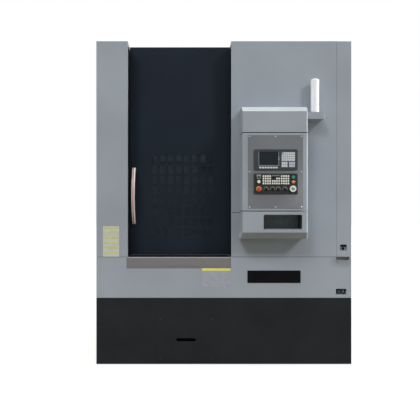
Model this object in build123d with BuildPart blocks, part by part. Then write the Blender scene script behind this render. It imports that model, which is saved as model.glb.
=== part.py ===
from build123d import *
import os
from math import cos, radians, sin

# CNC vertical lathe in its sheet-metal enclosure. Millimetres, +Z up, the front faces -Y,
# and the origin lies on the floor under the middle of the machine.

os.makedirs("parts", exist_ok=True)

# Overall size
WIDTH = 2450.0
HEIGHT = 3110.0
BODY_DEPTH = 1900.0  # front sheet to rear sheet
CONSOLE_DEPTH = 240.0  # console face ahead of the front sheet
CONTROL_REACH = 46.0  # foremost control ahead of the console face
SIDE = WIDTH / 2
FRONT = (CONSOLE_DEPTH + CONTROL_REACH - BODY_DEPTH) / 2
REAR = FRONT + BODY_DEPTH

# Sheet metal
SHEET = 3.0
FOLD = 25.0  # depth of a panel's folded rim
BEND = 2.4  # outer bend radius
SEAM = 3.0  # gap between neighbouring panels
POST = 50.0  # square tube of the enclosure frame
POST_WALL = 4.0

# Levels above the floor
FLOOR_GAP = 10.0
SKIRT_TOP = 642.0
SILL_BOTTOM = 931.0
SILL_TOP = 1037.0
UPPER_BOTTOM = 1040.0  # lower edge of the upper front panels

# Front layout, from the left
JAMB_LEFT = -922.0
JAMB_RIGHT = 70.0
CABINET_SEAM = 1084.0
CABINET_GAP = 2.0

# Sliding door
DOOR_RECESS = 160.0
DOOR_THICK = 40.0
DOOR_X = (-938.0, 85.0)
DOOR_Z = (1045.0, 3106.0)
DOOR_FACE = FRONT + DOOR_RECESS
DOOR_BACK = DOOR_FACE + DOOR_THICK
WINDOW_X = (-706.0, -91.0)
WINDOW_Z = (1226.0, 2035.0)
WINDOW_LAP = 18.0
WINDOW_CORNER = 20.0
GLASS = 8.0
GUARD = 4.0
BARS = 8  # cells of the window guard each way
BAR_WIDTH = 28.0
HANDLE_X = -879.0
HANDLE_Z = (1357.0, 1898.0)
HANDLE_WIDTH = 34.0
HANDLE_DEEP = 26.0
HANDLE_EDGE = 7.0
HANDLE_GROOVE = (13.0, 2.5)  # width and depth of the groove along its front
HANDLE_BOW = 108.0
HANDLE_POST_R = 11.0
HANDLE_POST = 42.0  # length of a post, into the bar
HANDLE_STAND = 26.0  # bar ends ahead of the door
ROLLER_R = 25.0
ROLLER_X = (-790.0, -60.0)
AXLE_R = 8.0
RAIL_TOP = 3030.0

# Spindle line
SPINDLE_X = -430.0
SPINDLE_Y = FRONT + 690.0
CHUCK_R = 315.0
CHUCK_Z = (930.0, 1090.0)
JAW_TOP = 1180.0
JAW_WIDTH = 51.4
SLOT_WIDTH = 52.0
SHAFT_R = 100.0
BEARING_R = 150.0
PULLEY_Z = (140.0, 260.0)
SPINDLE_PULLEY_R = 180.0
MOTOR_PULLEY_R = 90.0
MOTOR_X = 640.0
BELT = 12.0
RUN = 0.05  # radial running clearance
FREE = 0.4  # clearance between parts that pass each other

# Castings
BASE_X = (-1010.0, 430.0)
BASE_Y = (FRONT + 380.0, FRONT + 1800.0)
BASE_Z = (50.0, 640.0)
BASE_WALL = 45.0
COLUMN_X = (-800.0, 370.0)
COLUMN_Y = (FRONT + 1250.0, FRONT + 1720.0)
COLUMN_Z = (640.0, 2900.0)
COLUMN_WALL = 55.0

# X and Z slides at the home position, up and to the right
RAM_X = 40.0
RAM_WIDTH = 240.0
RAM_Y = (FRONT + 850.0, FRONT + 1000.0)
RAM_Z = (1985.0, 3050.0)
SADDLE_WIDTH = 480.0
SADDLE_Y = (FRONT + 1060.0, FRONT + 1180.0)
SADDLE_Z = (2000.0, 2820.0)
X_RAIL_Z = (2110.0, 2680.0)
X_RAIL_X = (-770.0, 335.0)
X_SCREW_Z = 2395.0
X_SCREW_Y = FRONT + 1216.0
X_SCREW_R = 25.0
Z_RAIL_SPACING = 170.0
Z_SCREW_Y = FRONT + 1032.0
Z_SCREW_R = 16.0
TURRET_Z = 2150.0
TURRET_FLAT = 200.0  # axis to a flat of the octagonal disc
TURRET_Y = (FRONT + 620.0, FRONT + 750.0)
TOOL_REACH = 250.0
STATIONS = 8

# Operator console
CONSOLE_X = (152.0, 748.0)
CONSOLE_Z = (1226.0, 2437.0)
CONSOLE_JOINTS = (1482.0, 2196.0)
CONSOLE_GAP = 8.0
CONSOLE_FACE = FRONT - CONSOLE_DEPTH
CONSOLE_EDGE = 14.0  # rounding of the upright corners
POCKET_X = (344.5, 696.0)
POCKET_Z = (1314.5, 1449.5)
PLATE_X = (203.0, 703.0)
PLATE_Z = (1506.0, 2173.0)
PLATE_LAP = 15.0
PLATE_FACE = CONSOLE_FACE - SHEET
UNIT_X = (256.0, 653.0)
DISPLAY_UNIT_Z = (1855.0, 2043.0)
PANEL_UNIT_Z = (1638.0, 1823.0)
UNIT_THICK = 10.0
UNIT_FACE = PLATE_FACE - UNIT_THICK
KEY_RISE = 2.5


def front(offset):
    """Plane facing the front, that far behind the front sheet."""
    return Plane.XZ.offset(-(FRONT + offset))


def facing(level):
    """Plane facing the front at this Y."""
    return Plane.XZ.offset(-level)


def span(across, up, radius=0.0, mode=Mode.ADD):
    """Rectangle between two low-high pairs, in the sketch it is called from."""
    width, height = across[1] - across[0], up[1] - up[0]
    with Locations((sum(across) / 2, sum(up) / 2)):
        if radius:
            RectangleRounded(width, height, radius, mode=mode)
        else:
            Rectangle(width, height, mode=mode)


def block(x, y, z, mode=Mode.ADD):
    """Box between three low-high pairs, in the part it is called from."""
    with Locations((sum(x) / 2, sum(y) / 2, sum(z) / 2)):
        Box(x[1] - x[0], y[1] - y[0], z[1] - z[0], mode=mode)


def save(piece, name):
    piece.part.label = name
    export_step(piece.part, f"parts/{name}.step")


def folded_panel(plane, across, up, depth=FOLD, notches=(), holes=(), corner=0.0):
    """Sheet panel with a rim folded back all round. Notches break its edge, holes its face."""
    with BuildPart() as panel:
        with BuildSketch(plane):
            span(across, up, corner)
            for notch in notches:
                span(*notch, mode=Mode.SUBTRACT)
        extrude(amount=-depth)
        with BuildSketch(plane.offset(-SHEET)):
            span(across, up, corner)
            for notch in notches:
                span(*notch, mode=Mode.SUBTRACT)
            offset(amount=-SHEET, kind=Kind.INTERSECTION)
        extrude(amount=-depth, mode=Mode.SUBTRACT)
        outer = panel.faces().sort_by(Axis(plane.origin, plane.z_dir))[-1]
        fillet(outer.edges(), radius=BEND)
        if holes:
            with BuildSketch(plane):
                for hole in holes:
                    span(*hole)
            extrude(amount=-SHEET, mode=Mode.SUBTRACT)
    return panel


# Enclosure: welded skirt round the foot, with a rim folded in at top and bottom
COVER_X = (-642.0, -85.0)
COVER_Z = (39.0, 471.0)
COVER_LAP = 30.0
COVER_CORNER = 8.0
skirt_z = (FLOOR_GAP, SKIRT_TOP)
upper_z = (SKIRT_TOP + SEAM, HEIGHT)
flank_y = (FRONT + FOLD + SEAM, REAR - FOLD - SEAM)
across_all = (-SIDE, SIDE)
left_plane = Plane(origin=(-SIDE, 0, 0), x_dir=(0, 1, 0), z_dir=(-1, 0, 0))
right_plane = Plane(origin=(SIDE, 0, 0), x_dir=(0, 1, 0), z_dir=(1, 0, 0))
rear_plane = Plane(origin=(0, REAR, 0), x_dir=(1, 0, 0), z_dir=(0, 1, 0))


def flipped(pair):
    """The same stretch measured on a plane whose second axis points down."""
    return (-pair[1], -pair[0])


def inset(pair, amount):
    return (pair[0] + amount, pair[1] - amount)


body_y = (FRONT, REAR)
with BuildPart() as base_skirt:
    block(across_all, body_y, skirt_z)
    fillet(base_skirt.edges().filter_by(Axis.Z), radius=BEND)
    block(inset(across_all, SHEET), inset(body_y, SHEET), inset(skirt_z, SHEET), mode=Mode.SUBTRACT)
    block(inset(across_all, FOLD), inset(body_y, FOLD), inset(skirt_z, -1), mode=Mode.SUBTRACT)
    with BuildSketch(front(0)):
        span(inset(COVER_X, COVER_LAP), inset(COVER_Z, COVER_LAP))
    extrude(amount=-SHEET, mode=Mode.SUBTRACT)
save(base_skirt, "base_skirt")

# Access cover over the chip box, with its finger slot
SLOT_CENTRE = (-363.5, 244.0)
SLOT_LENGTH = 187.0
SLOT_HEIGHT = 31.0
with BuildPart() as access_cover:
    with BuildSketch(front(0)):
        span(COVER_X, COVER_Z, COVER_CORNER)
        with Locations(SLOT_CENTRE):
            SlotOverall(SLOT_LENGTH, SLOT_HEIGHT, mode=Mode.SUBTRACT)
    extrude(amount=SHEET)
save(access_cover, "access_cover")

# Enclosure: lower front panel, with the sill's notch, a finger notch and the boxed service port
PORT_X = (1076.0, 1177.0)
PORT_Z = (675.0, 733.0)
FINGER_X = (1079.0, 1204.0)
FINGER_Z = (1003.0, UPPER_BOTTOM)
SILL_X = (JAMB_LEFT - 8.0, JAMB_RIGHT - 8.0)
PORT_DEPTH = 80.0
PORT_WALL = 2.0
lower_z = (SKIRT_TOP + SEAM, UPPER_BOTTOM - SEAM)
sill_notch = (inset(SILL_X, -SEAM), (SILL_BOTTOM - SEAM, UPPER_BOTTOM))
lower_sheet = folded_panel(front(0), across_all, lower_z, notches=[sill_notch, (FINGER_X, FINGER_Z)])
with BuildPart() as front_lower_panel:
    add(lower_sheet.part)
    with BuildSketch(front(SHEET)):
        span(inset(PORT_X, -PORT_WALL), inset(PORT_Z, -PORT_WALL))
    extrude(amount=-PORT_DEPTH)
    with BuildSketch(front(0)):
        span(PORT_X, PORT_Z)
    extrude(amount=PORT_WALL - PORT_DEPTH, mode=Mode.SUBTRACT)
save(front_lower_panel, "front_lower_panel")

# Door sill: one folded sheet, front apron, tread and a rear drip edge
SILL_REACH = 232.0
DRIP_EDGE = 40.0
TREAD_LEFT = -918.0
tread_y = (FRONT, FRONT + SILL_REACH)
with BuildPart() as door_sill:
    with BuildSketch(Plane.YZ.offset(SILL_X[0])):
        span(tread_y, (SILL_BOTTOM, SILL_TOP))
        span(inset(tread_y, SHEET), (SILL_BOTTOM, SILL_TOP - SHEET), mode=Mode.SUBTRACT)
        span((tread_y[1] - SHEET, tread_y[1]), (SILL_BOTTOM, SILL_TOP - DRIP_EDGE), mode=Mode.SUBTRACT)
    extrude(amount=SILL_X[1] - SILL_X[0])
    fillet(door_sill.edges().filter_by(Axis.X).group_by(Axis.Z)[-1].sort_by(Axis.Y)[0], radius=BEND)
    # The tread narrows behind the door line, to lie inside the liner
    block((SILL_X[0], TREAD_LEFT), (DOOR_FACE, tread_y[1]), (SILL_BOTTOM, SILL_TOP), mode=Mode.SUBTRACT)
save(door_sill, "door_sill")


# Upper front panels: a face with a jamb folded back towards the door
JAMB_REACH = DOOR_RECESS - 6.0
GROOVE = 2.2  # depth of the groove pressed beside the console
GROOVE_Z = (1461.0, 1467.0)
GROOVE_LAP = 40.0  # its length behind the console


def jamb_panel(outer, inner, up, grooves=()):
    """Face from outer to inner X, whose inner edge folds back into a deep jamb with a lip."""
    inward = 1 if inner > outer else -1
    with BuildPart() as panel:
        with BuildSketch(Plane.XY.offset(up[0])):
            with BuildLine():
                Polyline(
                    (outer, FRONT + FOLD),
                    (outer, FRONT),
                    (inner, FRONT),
                    (inner, FRONT + JAMB_REACH),
                    (inner - inward * FOLD, FRONT + JAMB_REACH),
                    (inner - inward * FOLD, FRONT + JAMB_REACH - SHEET),
                    (inner - inward * SHEET, FRONT + JAMB_REACH - SHEET),
                    (inner - inward * SHEET, FRONT + SHEET),
                    (outer + inward * SHEET, FRONT + SHEET),
                    (outer + inward * SHEET, FRONT + FOLD),
                    close=True,
                )
            make_face()
        extrude(amount=up[1] - up[0])
        bends = panel.edges().filter_by(Axis.Z).group_by(Axis.Y)[0]
        fillet(bends, radius=BEND)
        if grooves:
            with BuildSketch(front(0)):
                for groove in grooves:
                    span(*groove)
            extrude(amount=-GROOVE, mode=Mode.SUBTRACT)
    return panel


jamb_z = (UPPER_BOTTOM, HEIGHT)
wall_groove = ((JAMB_RIGHT + BEND, CONSOLE_X[0] + GROOVE_LAP), GROOVE_Z)
save(jamb_panel(-SIDE, JAMB_LEFT, jamb_z), "front_left_panel")
save(jamb_panel(CABINET_SEAM - CABINET_GAP, JAMB_RIGHT, jamb_z, [wall_groove]), "front_right_panel")

# Sides, rear and roof
VENT_X = (350.0, 750.0)
VENT_Z = (2450.0, 2800.0)
VENT_HEIGHT = 10.0
VENT_COUNT = 10
vent_pitch = (VENT_Z[1] - VENT_Z[0]) / VENT_COUNT
vent_feet = [VENT_Z[0] + i * vent_pitch for i in range(VENT_COUNT)]
rear_vents = [(VENT_X, flipped((foot, foot + VENT_HEIGHT))) for foot in vent_feet]
save(folded_panel(left_plane, flank_y, flipped(upper_z)), "side_panel_left")
save(folded_panel(right_plane, flank_y, upper_z), "side_panel_right")
save(folded_panel(rear_plane, across_all, flipped(upper_z), holes=rear_vents), "rear_panel")

roof_inset = FOLD + SEAM
jamb_clear = FOLD + SEAM
with BuildPart() as roof_panel:
    with BuildSketch(Plane.XY.offset(HEIGHT - SHEET)):
        span((roof_inset - SIDE, SIDE - roof_inset), (FRONT + roof_inset, REAR - roof_inset))
        door_bay = (JAMB_LEFT - jamb_clear, JAMB_RIGHT + jamb_clear)
        span(door_bay, (FRONT, DOOR_BACK + SEAM), mode=Mode.SUBTRACT)
    extrude(amount=SHEET)
save(roof_panel, "roof_panel")

# Enclosure frame: welded square tube, with the door rail and the cabinet hinge ears on it
post_in = FOLD + POST / 2
post_x = SIDE - post_in
front_post_y = FRONT + post_in
rear_post_y = REAR - post_in
POST_Z = (FLOOR_GAP + SHEET, 3090.0)
MULLION_X = (105.0, 1045.0)
LOW_BEAM_Z = (560.0, 610.0)
HIGH_BEAM_Z = (POST_Z[1] - POST, POST_Z[1])
CABINET_BEAM_Y = (FRONT + 1275.0, FRONT + 1325.0)
DOOR_BEAM_Y = (FRONT + 226.0, FRONT + 276.0)
DOOR_BEAM_Z = (2995.0, 3045.0)
RAIL_Y = (FRONT + 206.0, FRONT + 214.0)
RAIL_X = (DOOR_X[0] + 6.0, MULLION_X[1])
RAIL_FOOT_Z = (RAIL_TOP - 30.0, RAIL_TOP - 18.0)
HINGE = (SIDE - 12.0, FRONT + 12.0)
HINGE_Z = (1300.0, 2075.0, 2850.0)
HINGE_PIN_R = 4.0
CORNER_POST_Y = FRONT + 110.0  # set back to leave room for the service port
KNUCKLE_R = 8.0
KNUCKLE = 40.0  # length of the door's knuckle
EAR = 8.0  # thickness of a hinge ear
EAR_X = (SIDE - 45.0, SIDE - 29.0)


frame_x = (-SIDE + FOLD, SIDE - FOLD)
frame_y = (front_post_y, rear_post_y)
with BuildPart() as enclosure_frame:
    with BuildSketch(Plane.XY.offset(POST_Z[0])):
        with Locations(
            (-post_x, front_post_y), (post_x, CORNER_POST_Y), (-post_x, rear_post_y), (post_x, rear_post_y),
            (MULLION_X[0], front_post_y), (MULLION_X[1], front_post_y),
        ):
            Rectangle(POST, POST)
            Rectangle(POST - 2 * POST_WALL, POST - 2 * POST_WALL, mode=Mode.SUBTRACT)
    extrude(amount=POST_Z[1] - POST_Z[0])
    for level in (LOW_BEAM_Z, HIGH_BEAM_Z):
        for side in (-1, 1):
            beam_x = sorted((side * (post_x - POST / 2), side * (post_x + POST / 2)))
            block(beam_x, inset(frame_y, POST / 2), level)
    block(inset(frame_x, POST), (BASE_Y[0] - POST, BASE_Y[0]), LOW_BEAM_Z)
    block(inset(frame_x, POST), (BASE_Y[1], BASE_Y[1] + POST), LOW_BEAM_Z)
    block(inset(frame_x, POST), (rear_post_y - POST / 2, rear_post_y + POST / 2), HIGH_BEAM_Z)
    block((MULLION_X[0], frame_x[1]), (front_post_y - POST / 2, front_post_y + POST / 2), HIGH_BEAM_Z)
    block((BASE_X[1], frame_x[1] - POST), CABINET_BEAM_Y, LOW_BEAM_Z)
    block(frame_x, DOOR_BEAM_Y, DOOR_BEAM_Z)
    # Door rail: a foot on the beam and an upstand that the rollers run on
    block(RAIL_X, (RAIL_Y[0], DOOR_BEAM_Y[0]), RAIL_FOOT_Z)
    block(RAIL_X, RAIL_Y, (RAIL_FOOT_Z[0], RAIL_TOP))
    # Hinges of the narrow cabinet door: an ear above and below each knuckle, and a pin through them
    for height in HINGE_Z:
        for ear_foot in (height - KNUCKLE / 2 - EAR - FREE, height + KNUCKLE / 2 + FREE):
            with BuildSketch(Plane.XY.offset(ear_foot)):
                with Locations(HINGE):
                    Circle(KNUCKLE_R)
                span((EAR_X[0], HINGE[0]), (HINGE[1] - KNUCKLE_R, HINGE[1] + KNUCKLE_R))
                span(EAR_X, (HINGE[1] - KNUCKLE_R, CORNER_POST_Y))
            extrude(amount=EAR)
        with BuildSketch(Plane.XY.offset(height - KNUCKLE / 2 - EAR)):
            with Locations(HINGE):
                Circle(HINGE_PIN_R)
        extrude(amount=KNUCKLE + 2 * EAR)
save(enclosure_frame, "enclosure_frame")

# Narrow cabinet door on the right, folded on three edges, with its knuckles and latch cup
LATCH_X = (1117.0, 1180.0)
LATCH_Z = (1098.0, 1157.0)
LATCH_CENTRE = (1146.0, 1119.0)
CUP_DEPTH = 15.0
CUP_WALL = 2.0
RIM_CUT = 30.0  # rim left off beside the hinge line
LATCH_STEM_R = 6.0
LATCH_SEAT_R = 20.0
LATCH_SEAT = 7.0
LATCH_HEAD_R = 13.5
LATCH_HEAD = 6.0
LATCH_GROOVE = (3.0, 20.0, 1.5)  # width, length and depth
CAM = (44.0, 16.0, 3.0)  # length, width and thickness
CAM_REACH = 14.0
strip_x = (CABINET_SEAM, SIDE)
strip_sheet = folded_panel(front(0), strip_x, (UPPER_BOTTOM, HEIGHT))
with BuildPart() as cabinet_door:
    add(strip_sheet.part)
    block((SIDE - SHEET, SIDE), (FRONT + SHEET, FRONT + FOLD), (UPPER_BOTTOM, HEIGHT), mode=Mode.SUBTRACT)
    rim_x = (HINGE[0] - RIM_CUT, SIDE)
    for rim_z in ((UPPER_BOTTOM, UPPER_BOTTOM + SHEET), (HEIGHT - SHEET, HEIGHT)):
        block(rim_x, (FRONT + SHEET, FRONT + FOLD), rim_z, mode=Mode.SUBTRACT)
    for height in HINGE_Z:
        with BuildSketch(Plane.XY.offset(height - KNUCKLE / 2)):
            with Locations(HINGE):
                Circle(KNUCKLE_R)
            span((HINGE[0] - KNUCKLE_R, HINGE[0] + KNUCKLE_R), (FRONT + SHEET, HINGE[1]))
            with Locations(HINGE):
                Circle(HINGE_PIN_R + RUN, mode=Mode.SUBTRACT)
        extrude(amount=KNUCKLE)
    with BuildSketch(front(SHEET)):
        span(inset(LATCH_X, -CUP_WALL), inset(LATCH_Z, -CUP_WALL))
    extrude(amount=-CUP_DEPTH)
    with BuildSketch(front(0)):
        span(LATCH_X, LATCH_Z)
    extrude(amount=-(CUP_DEPTH + SHEET - CUP_WALL), mode=Mode.SUBTRACT)
    with BuildSketch(front(CUP_DEPTH + SHEET - CUP_WALL)):
        with Locations(LATCH_CENTRE):
            Circle(LATCH_SEAT_R)
    extrude(amount=LATCH_SEAT)
    with BuildSketch(front(0)):
        with Locations(LATCH_CENTRE):
            Circle(LATCH_STEM_R + RUN)
    extrude(amount=-FOLD, mode=Mode.SUBTRACT)
save(cabinet_door, "cabinet_door")

latch_seat = CUP_DEPTH + SHEET - CUP_WALL - LATCH_SEAT
with BuildPart() as latch_knob:
    with BuildSketch(front(latch_seat - FREE)):
        with Locations(LATCH_CENTRE):
            Circle(LATCH_HEAD_R)
    extrude(amount=LATCH_HEAD)
    chamfer(latch_knob.faces().sort_by(Axis.Y)[0].edges(), length=1.0)
    with BuildSketch(front(latch_seat - FREE)):
        with Locations(LATCH_CENTRE):
            Circle(LATCH_STEM_R)
    extrude(amount=-(FOLD - latch_seat - 2.0))
    # Cam behind the cup
    with BuildSketch(front(CUP_DEPTH + SHEET + FREE)):
        with Locations((LATCH_CENTRE[0] - CAM_REACH, LATCH_CENTRE[1])):
            SlotOverall(CAM[0], CAM[1])
    extrude(amount=-CAM[2])
    with BuildSketch(front(latch_seat - FREE - LATCH_HEAD)):
        with Locations(LATCH_CENTRE):
            Rectangle(LATCH_GROOVE[0], LATCH_GROOVE[1])
    extrude(amount=-LATCH_GROOVE[2], mode=Mode.SUBTRACT)
save(latch_knob, "latch_knob")

# Sliding door: folded panel with its window cut-out, a hanger bar and the roller studs
STUD_END = FRONT + 219.0
ROLLER_Z = RAIL_TOP + ROLLER_R + FREE
HANGER_Z = (ROLLER_Z - 30.0, ROLLER_Z + 30.0)
HANGER = 8.0
door_sheet = folded_panel(facing(DOOR_FACE), DOOR_X, DOOR_Z, depth=DOOR_THICK)
with BuildPart() as door_panel:
    add(door_sheet.part)
    with BuildSketch(facing(DOOR_FACE)):
        span(WINDOW_X, WINDOW_Z, WINDOW_CORNER)
    extrude(amount=-SHEET, mode=Mode.SUBTRACT)
    block(inset(DOOR_X, SHEET), (DOOR_BACK - HANGER, DOOR_BACK), HANGER_Z)
    with BuildSketch(facing(DOOR_BACK)):
        with Locations(*[(x, ROLLER_Z) for x in ROLLER_X]):
            Circle(AXLE_R)
    extrude(amount=-(STUD_END - DOOR_BACK))
save(door_panel, "door_panel")

with BuildPart() as door_window:
    with BuildSketch(facing(DOOR_FACE + SHEET + GUARD)):
        span(inset(WINDOW_X, -WINDOW_LAP), inset(WINDOW_Z, -WINDOW_LAP), WINDOW_CORNER + 10.0)
    extrude(amount=-GLASS)
save(door_window, "door_window")

# Guard between the door sheet and the glass: a flat grid of bars in a frame
guard_x = inset(WINDOW_X, -WINDOW_LAP)
guard_z = inset(WINDOW_Z, -WINDOW_LAP)
cell_x = (WINDOW_X[1] - WINDOW_X[0] + BAR_WIDTH) / BARS
cell_z = (WINDOW_Z[1] - WINDOW_Z[0] + BAR_WIDTH) / BARS
with BuildPart() as window_guard:
    with BuildSketch(facing(DOOR_FACE + SHEET)):
        span(guard_x, guard_z)
        with Locations((sum(guard_x) / 2, sum(guard_z) / 2)):
            with GridLocations(cell_x, cell_z, BARS, BARS):
                Rectangle(cell_x - BAR_WIDTH, cell_z - BAR_WIDTH, mode=Mode.SUBTRACT)
    extrude(amount=-GUARD)
save(window_guard, "window_guard")

# Bow handle: a bent flat bar on two posts, grooved along its front for a coloured strip
bow_end_y = DOOR_FACE - HANDLE_STAND
bow_mid_y = DOOR_FACE - HANDLE_BOW
handle_mid = sum(HANDLE_Z) / 2
POST_INSET = 34.0
with BuildPart() as door_handle:
    with BuildLine():
        bow = ThreePointArc(
            (HANDLE_X, bow_end_y, HANDLE_Z[0]),
            (HANDLE_X, bow_mid_y, handle_mid),
            (HANDLE_X, bow_end_y, HANDLE_Z[1]),
        )
    with BuildSketch(Plane(origin=bow @ 0, x_dir=(1, 0, 0), z_dir=bow % 0)):
        RectangleRounded(HANDLE_WIDTH, HANDLE_DEEP, HANDLE_EDGE)
        with Locations((0, (HANDLE_GROOVE[1] - HANDLE_DEEP) / 2)):
            Rectangle(HANDLE_GROOVE[0], HANDLE_GROOVE[1], mode=Mode.SUBTRACT)
    sweep()
    with BuildSketch(facing(DOOR_FACE)):
        with Locations((HANDLE_X, HANDLE_Z[0] + POST_INSET), (HANDLE_X, HANDLE_Z[1] - POST_INSET)):
            Circle(HANDLE_POST_R)
    extrude(amount=HANDLE_POST)
save(door_handle, "door_handle")

roller_y = (FRONT + 203.0, FRONT + 217.0)
for side, roller_x in zip(("left", "right"), ROLLER_X):
    with BuildPart() as door_roller:
        with BuildSketch(facing(roller_y[0])):
            with Locations((roller_x, ROLLER_Z)):
                Circle(ROLLER_R)
        extrude(amount=roller_y[0] - roller_y[1])
        chamfer(door_roller.edges().filter_by(GeomType.CIRCLE), length=1.5)
        with BuildSketch(facing(roller_y[0])):
            with Locations((roller_x, ROLLER_Z)):
                Circle(AXLE_R + RUN)
        extrude(amount=roller_y[0] - roller_y[1], mode=Mode.SUBTRACT)
    save(door_roller, f"door_roller_{side}")

# Base casting: an open-bottomed box with a bored boss for the spindle and foot pads in its corners
BASE_TOP = 60.0
BORE_R = 215.0
BOSS_R = 262.0
BOSS_FOOT = 300.0
RIB = 36.0
BASE_CORNER = 45.0
PAD_RISE = 60.0
FOOT_R = 55.0
FOOT_PLATE = 16.0
FOOT_STEM_R = 18.0
BELT_WINDOW = 200.0  # half width of the window that the belt leaves by
FEET_X = (-945.0, -290.0, 365.0)
FEET_Y = (BASE_Y[0] + 65.0, BASE_Y[1] - 65.0)
PAD = 130.0
inner_x = inset(BASE_X, BASE_WALL)
inner_y = inset(BASE_Y, BASE_WALL)
with BuildPart() as base_casting:
    block(BASE_X, BASE_Y, BASE_Z)
    fillet(base_casting.edges().filter_by(Axis.Z), radius=BASE_CORNER)
    block(inner_x, inner_y, (BASE_Z[0], BASE_Z[1] - BASE_TOP), mode=Mode.SUBTRACT)
    with BuildSketch(Plane.XY.offset(BOSS_FOOT)):
        with Locations((SPINDLE_X, SPINDLE_Y)):
            Circle(BOSS_R)
        span(inner_x, (SPINDLE_Y - RIB / 2, SPINDLE_Y + RIB / 2))
        span((SPINDLE_X - RIB / 2, SPINDLE_X + RIB / 2), inner_y)
        for rib_x in (COLUMN_X[0] + 40.0, COLUMN_X[1] - 60.0):
            span((rib_x - RIB / 2, rib_x + RIB / 2), (COLUMN_Y[0] - 60.0, inner_y[1]))
    extrude(amount=BASE_Z[1] - BASE_TOP - BOSS_FOOT)
    with BuildSketch(Plane.XY.offset(BASE_Z[0])):
        with Locations(*[(x, y) for x in FEET_X for y in FEET_Y]):
            Rectangle(PAD, PAD)
    extrude(amount=PAD_RISE)
    with BuildSketch(Plane.XY.offset(BOSS_FOOT)):
        with Locations((SPINDLE_X, SPINDLE_Y)):
            Circle(BORE_R)
    extrude(amount=BASE_Z[1] - BOSS_FOOT, mode=Mode.SUBTRACT)
    belt_window_y = (SPINDLE_Y - BELT_WINDOW, SPINDLE_Y + BELT_WINDOW)
    belt_window_z = inset(PULLEY_Z, -40.0)
    block((inner_x[1] - 1, BASE_X[1]), belt_window_y, belt_window_z, mode=Mode.SUBTRACT)
save(base_casting, "base_casting")

with BuildPart() as leveling_feet:
    with BuildSketch(Plane.XY):
        with Locations(*[(x, y) for x in FEET_X for y in FEET_Y]):
            Circle(FOOT_R)
    extrude(amount=FOOT_PLATE)
    with BuildSketch(Plane.XY.offset(FOOT_PLATE)):
        with Locations(*[(x, y) for x in FEET_X for y in FEET_Y]):
            Circle(FOOT_STEM_R)
    extrude(amount=BASE_Z[0] - FOOT_PLATE)
save(leveling_feet, "leveling_feet")

# Column casting: ribbed and open at the back, with two T-shaped box ways and the X screw's bearing bosses
WAY_HEAD = 45.0  # half height of the way's head
WAY_NECK = 30.0
WAY_REACH = 50.0
HEAD_DEPTH = 25.0
SCREW_BOSS = 55.0
BOSS_REACH = 66.0
COLUMN_FOOT = 60.0  # height of the column's flange
COLUMN_BAYS = 4
JOURNAL_R = 20.0
column_front = COLUMN_Y[0]
boss_left = (COLUMN_X[0], COLUMN_X[0] + 45.0)
boss_right = (COLUMN_X[1] - 32.0, COLUMN_X[1])
with BuildPart() as column_casting:
    block(COLUMN_X, COLUMN_Y, COLUMN_Z)
    block(inset(COLUMN_X, -50.0), inset(COLUMN_Y, -40.0), (COLUMN_Z[0], COLUMN_Z[0] + COLUMN_FOOT))
    core_x = inset(COLUMN_X, COLUMN_WALL)
    bay_height = (COLUMN_Z[1] - COLUMN_Z[0] - COLUMN_FOOT) / COLUMN_BAYS
    for bay in range(COLUMN_BAYS):
        foot = COLUMN_Z[0] + COLUMN_FOOT + bay * bay_height
        core_z = (foot, foot + bay_height - COLUMN_WALL)
        block(core_x, (column_front + COLUMN_WALL, COLUMN_Y[1] + 50.0), core_z, mode=Mode.SUBTRACT)
    with BuildSketch(Plane.YZ.offset(X_RAIL_X[0])):
        for height in X_RAIL_Z:
            neck = (height - WAY_NECK, height + WAY_NECK)
            head = (height - WAY_HEAD, height + WAY_HEAD)
            span((column_front - WAY_REACH, column_front), neck)
            span((column_front - WAY_REACH, column_front - WAY_REACH + HEAD_DEPTH), head)
    extrude(amount=X_RAIL_X[1] - X_RAIL_X[0])
    boss_z = (X_SCREW_Z - SCREW_BOSS, X_SCREW_Z + SCREW_BOSS)
    for boss_x in (boss_left, boss_right):
        block(boss_x, (column_front - BOSS_REACH, column_front), boss_z)
    with BuildSketch(Plane.YZ.offset(COLUMN_X[0])):
        with Locations((X_SCREW_Y, X_SCREW_Z)):
            Circle(JOURNAL_R + RUN)
    extrude(amount=COLUMN_X[1] - COLUMN_X[0], mode=Mode.SUBTRACT)
save(column_casting, "column_casting")

# X drive: screw in the column's bosses, servo motor on the right-hand boss
with BuildPart() as x_screw:
    with BuildSketch(Plane.YZ.offset(boss_left[0] + 1)):
        with Locations((X_SCREW_Y, X_SCREW_Z)):
            Circle(JOURNAL_R)
    extrude(amount=boss_right[1] - boss_left[0] - 2)
    with BuildSketch(Plane.YZ.offset(boss_left[1] + 2)):
        with Locations((X_SCREW_Y, X_SCREW_Z)):
            Circle(X_SCREW_R)
    extrude(amount=boss_right[0] - boss_left[1] - 4)
save(x_screw, "x_screw")


def servo_motor(plane, size, length):
    """Square flange, body, rear cap and a connector, standing on the plane."""
    with BuildPart() as motor:
        with BuildSketch(plane):
            RectangleRounded(size, size, size * 0.08)
        extrude(amount=length * 0.08)
        with BuildSketch(plane.offset(length * 0.08)):
            RectangleRounded(size * 0.9, size * 0.9, size * 0.14)
        extrude(amount=length * 0.62)
        with BuildSketch(plane.offset(length * 0.70)):
            RectangleRounded(size * 0.8, size * 0.8, size * 0.2)
        extrude(amount=length * 0.30)
        fillet(motor.faces().sort_by(Axis(plane.origin, plane.z_dir))[-1].edges(), radius=size * 0.04)
        with BuildSketch(plane.offset(length * 0.74)):
            with Locations((0, size * 0.42)):
                RectangleRounded(size * 0.34, size * 0.24, size * 0.05)
        extrude(amount=length * 0.2)
    return motor


x_motor_plane = Plane(origin=(COLUMN_X[1], X_SCREW_Y, X_SCREW_Z), x_dir=(0, 1, 0), z_dir=(1, 0, 0))
save(servo_motor(x_motor_plane, 130.0, 230.0), "x_servo_motor")

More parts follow.
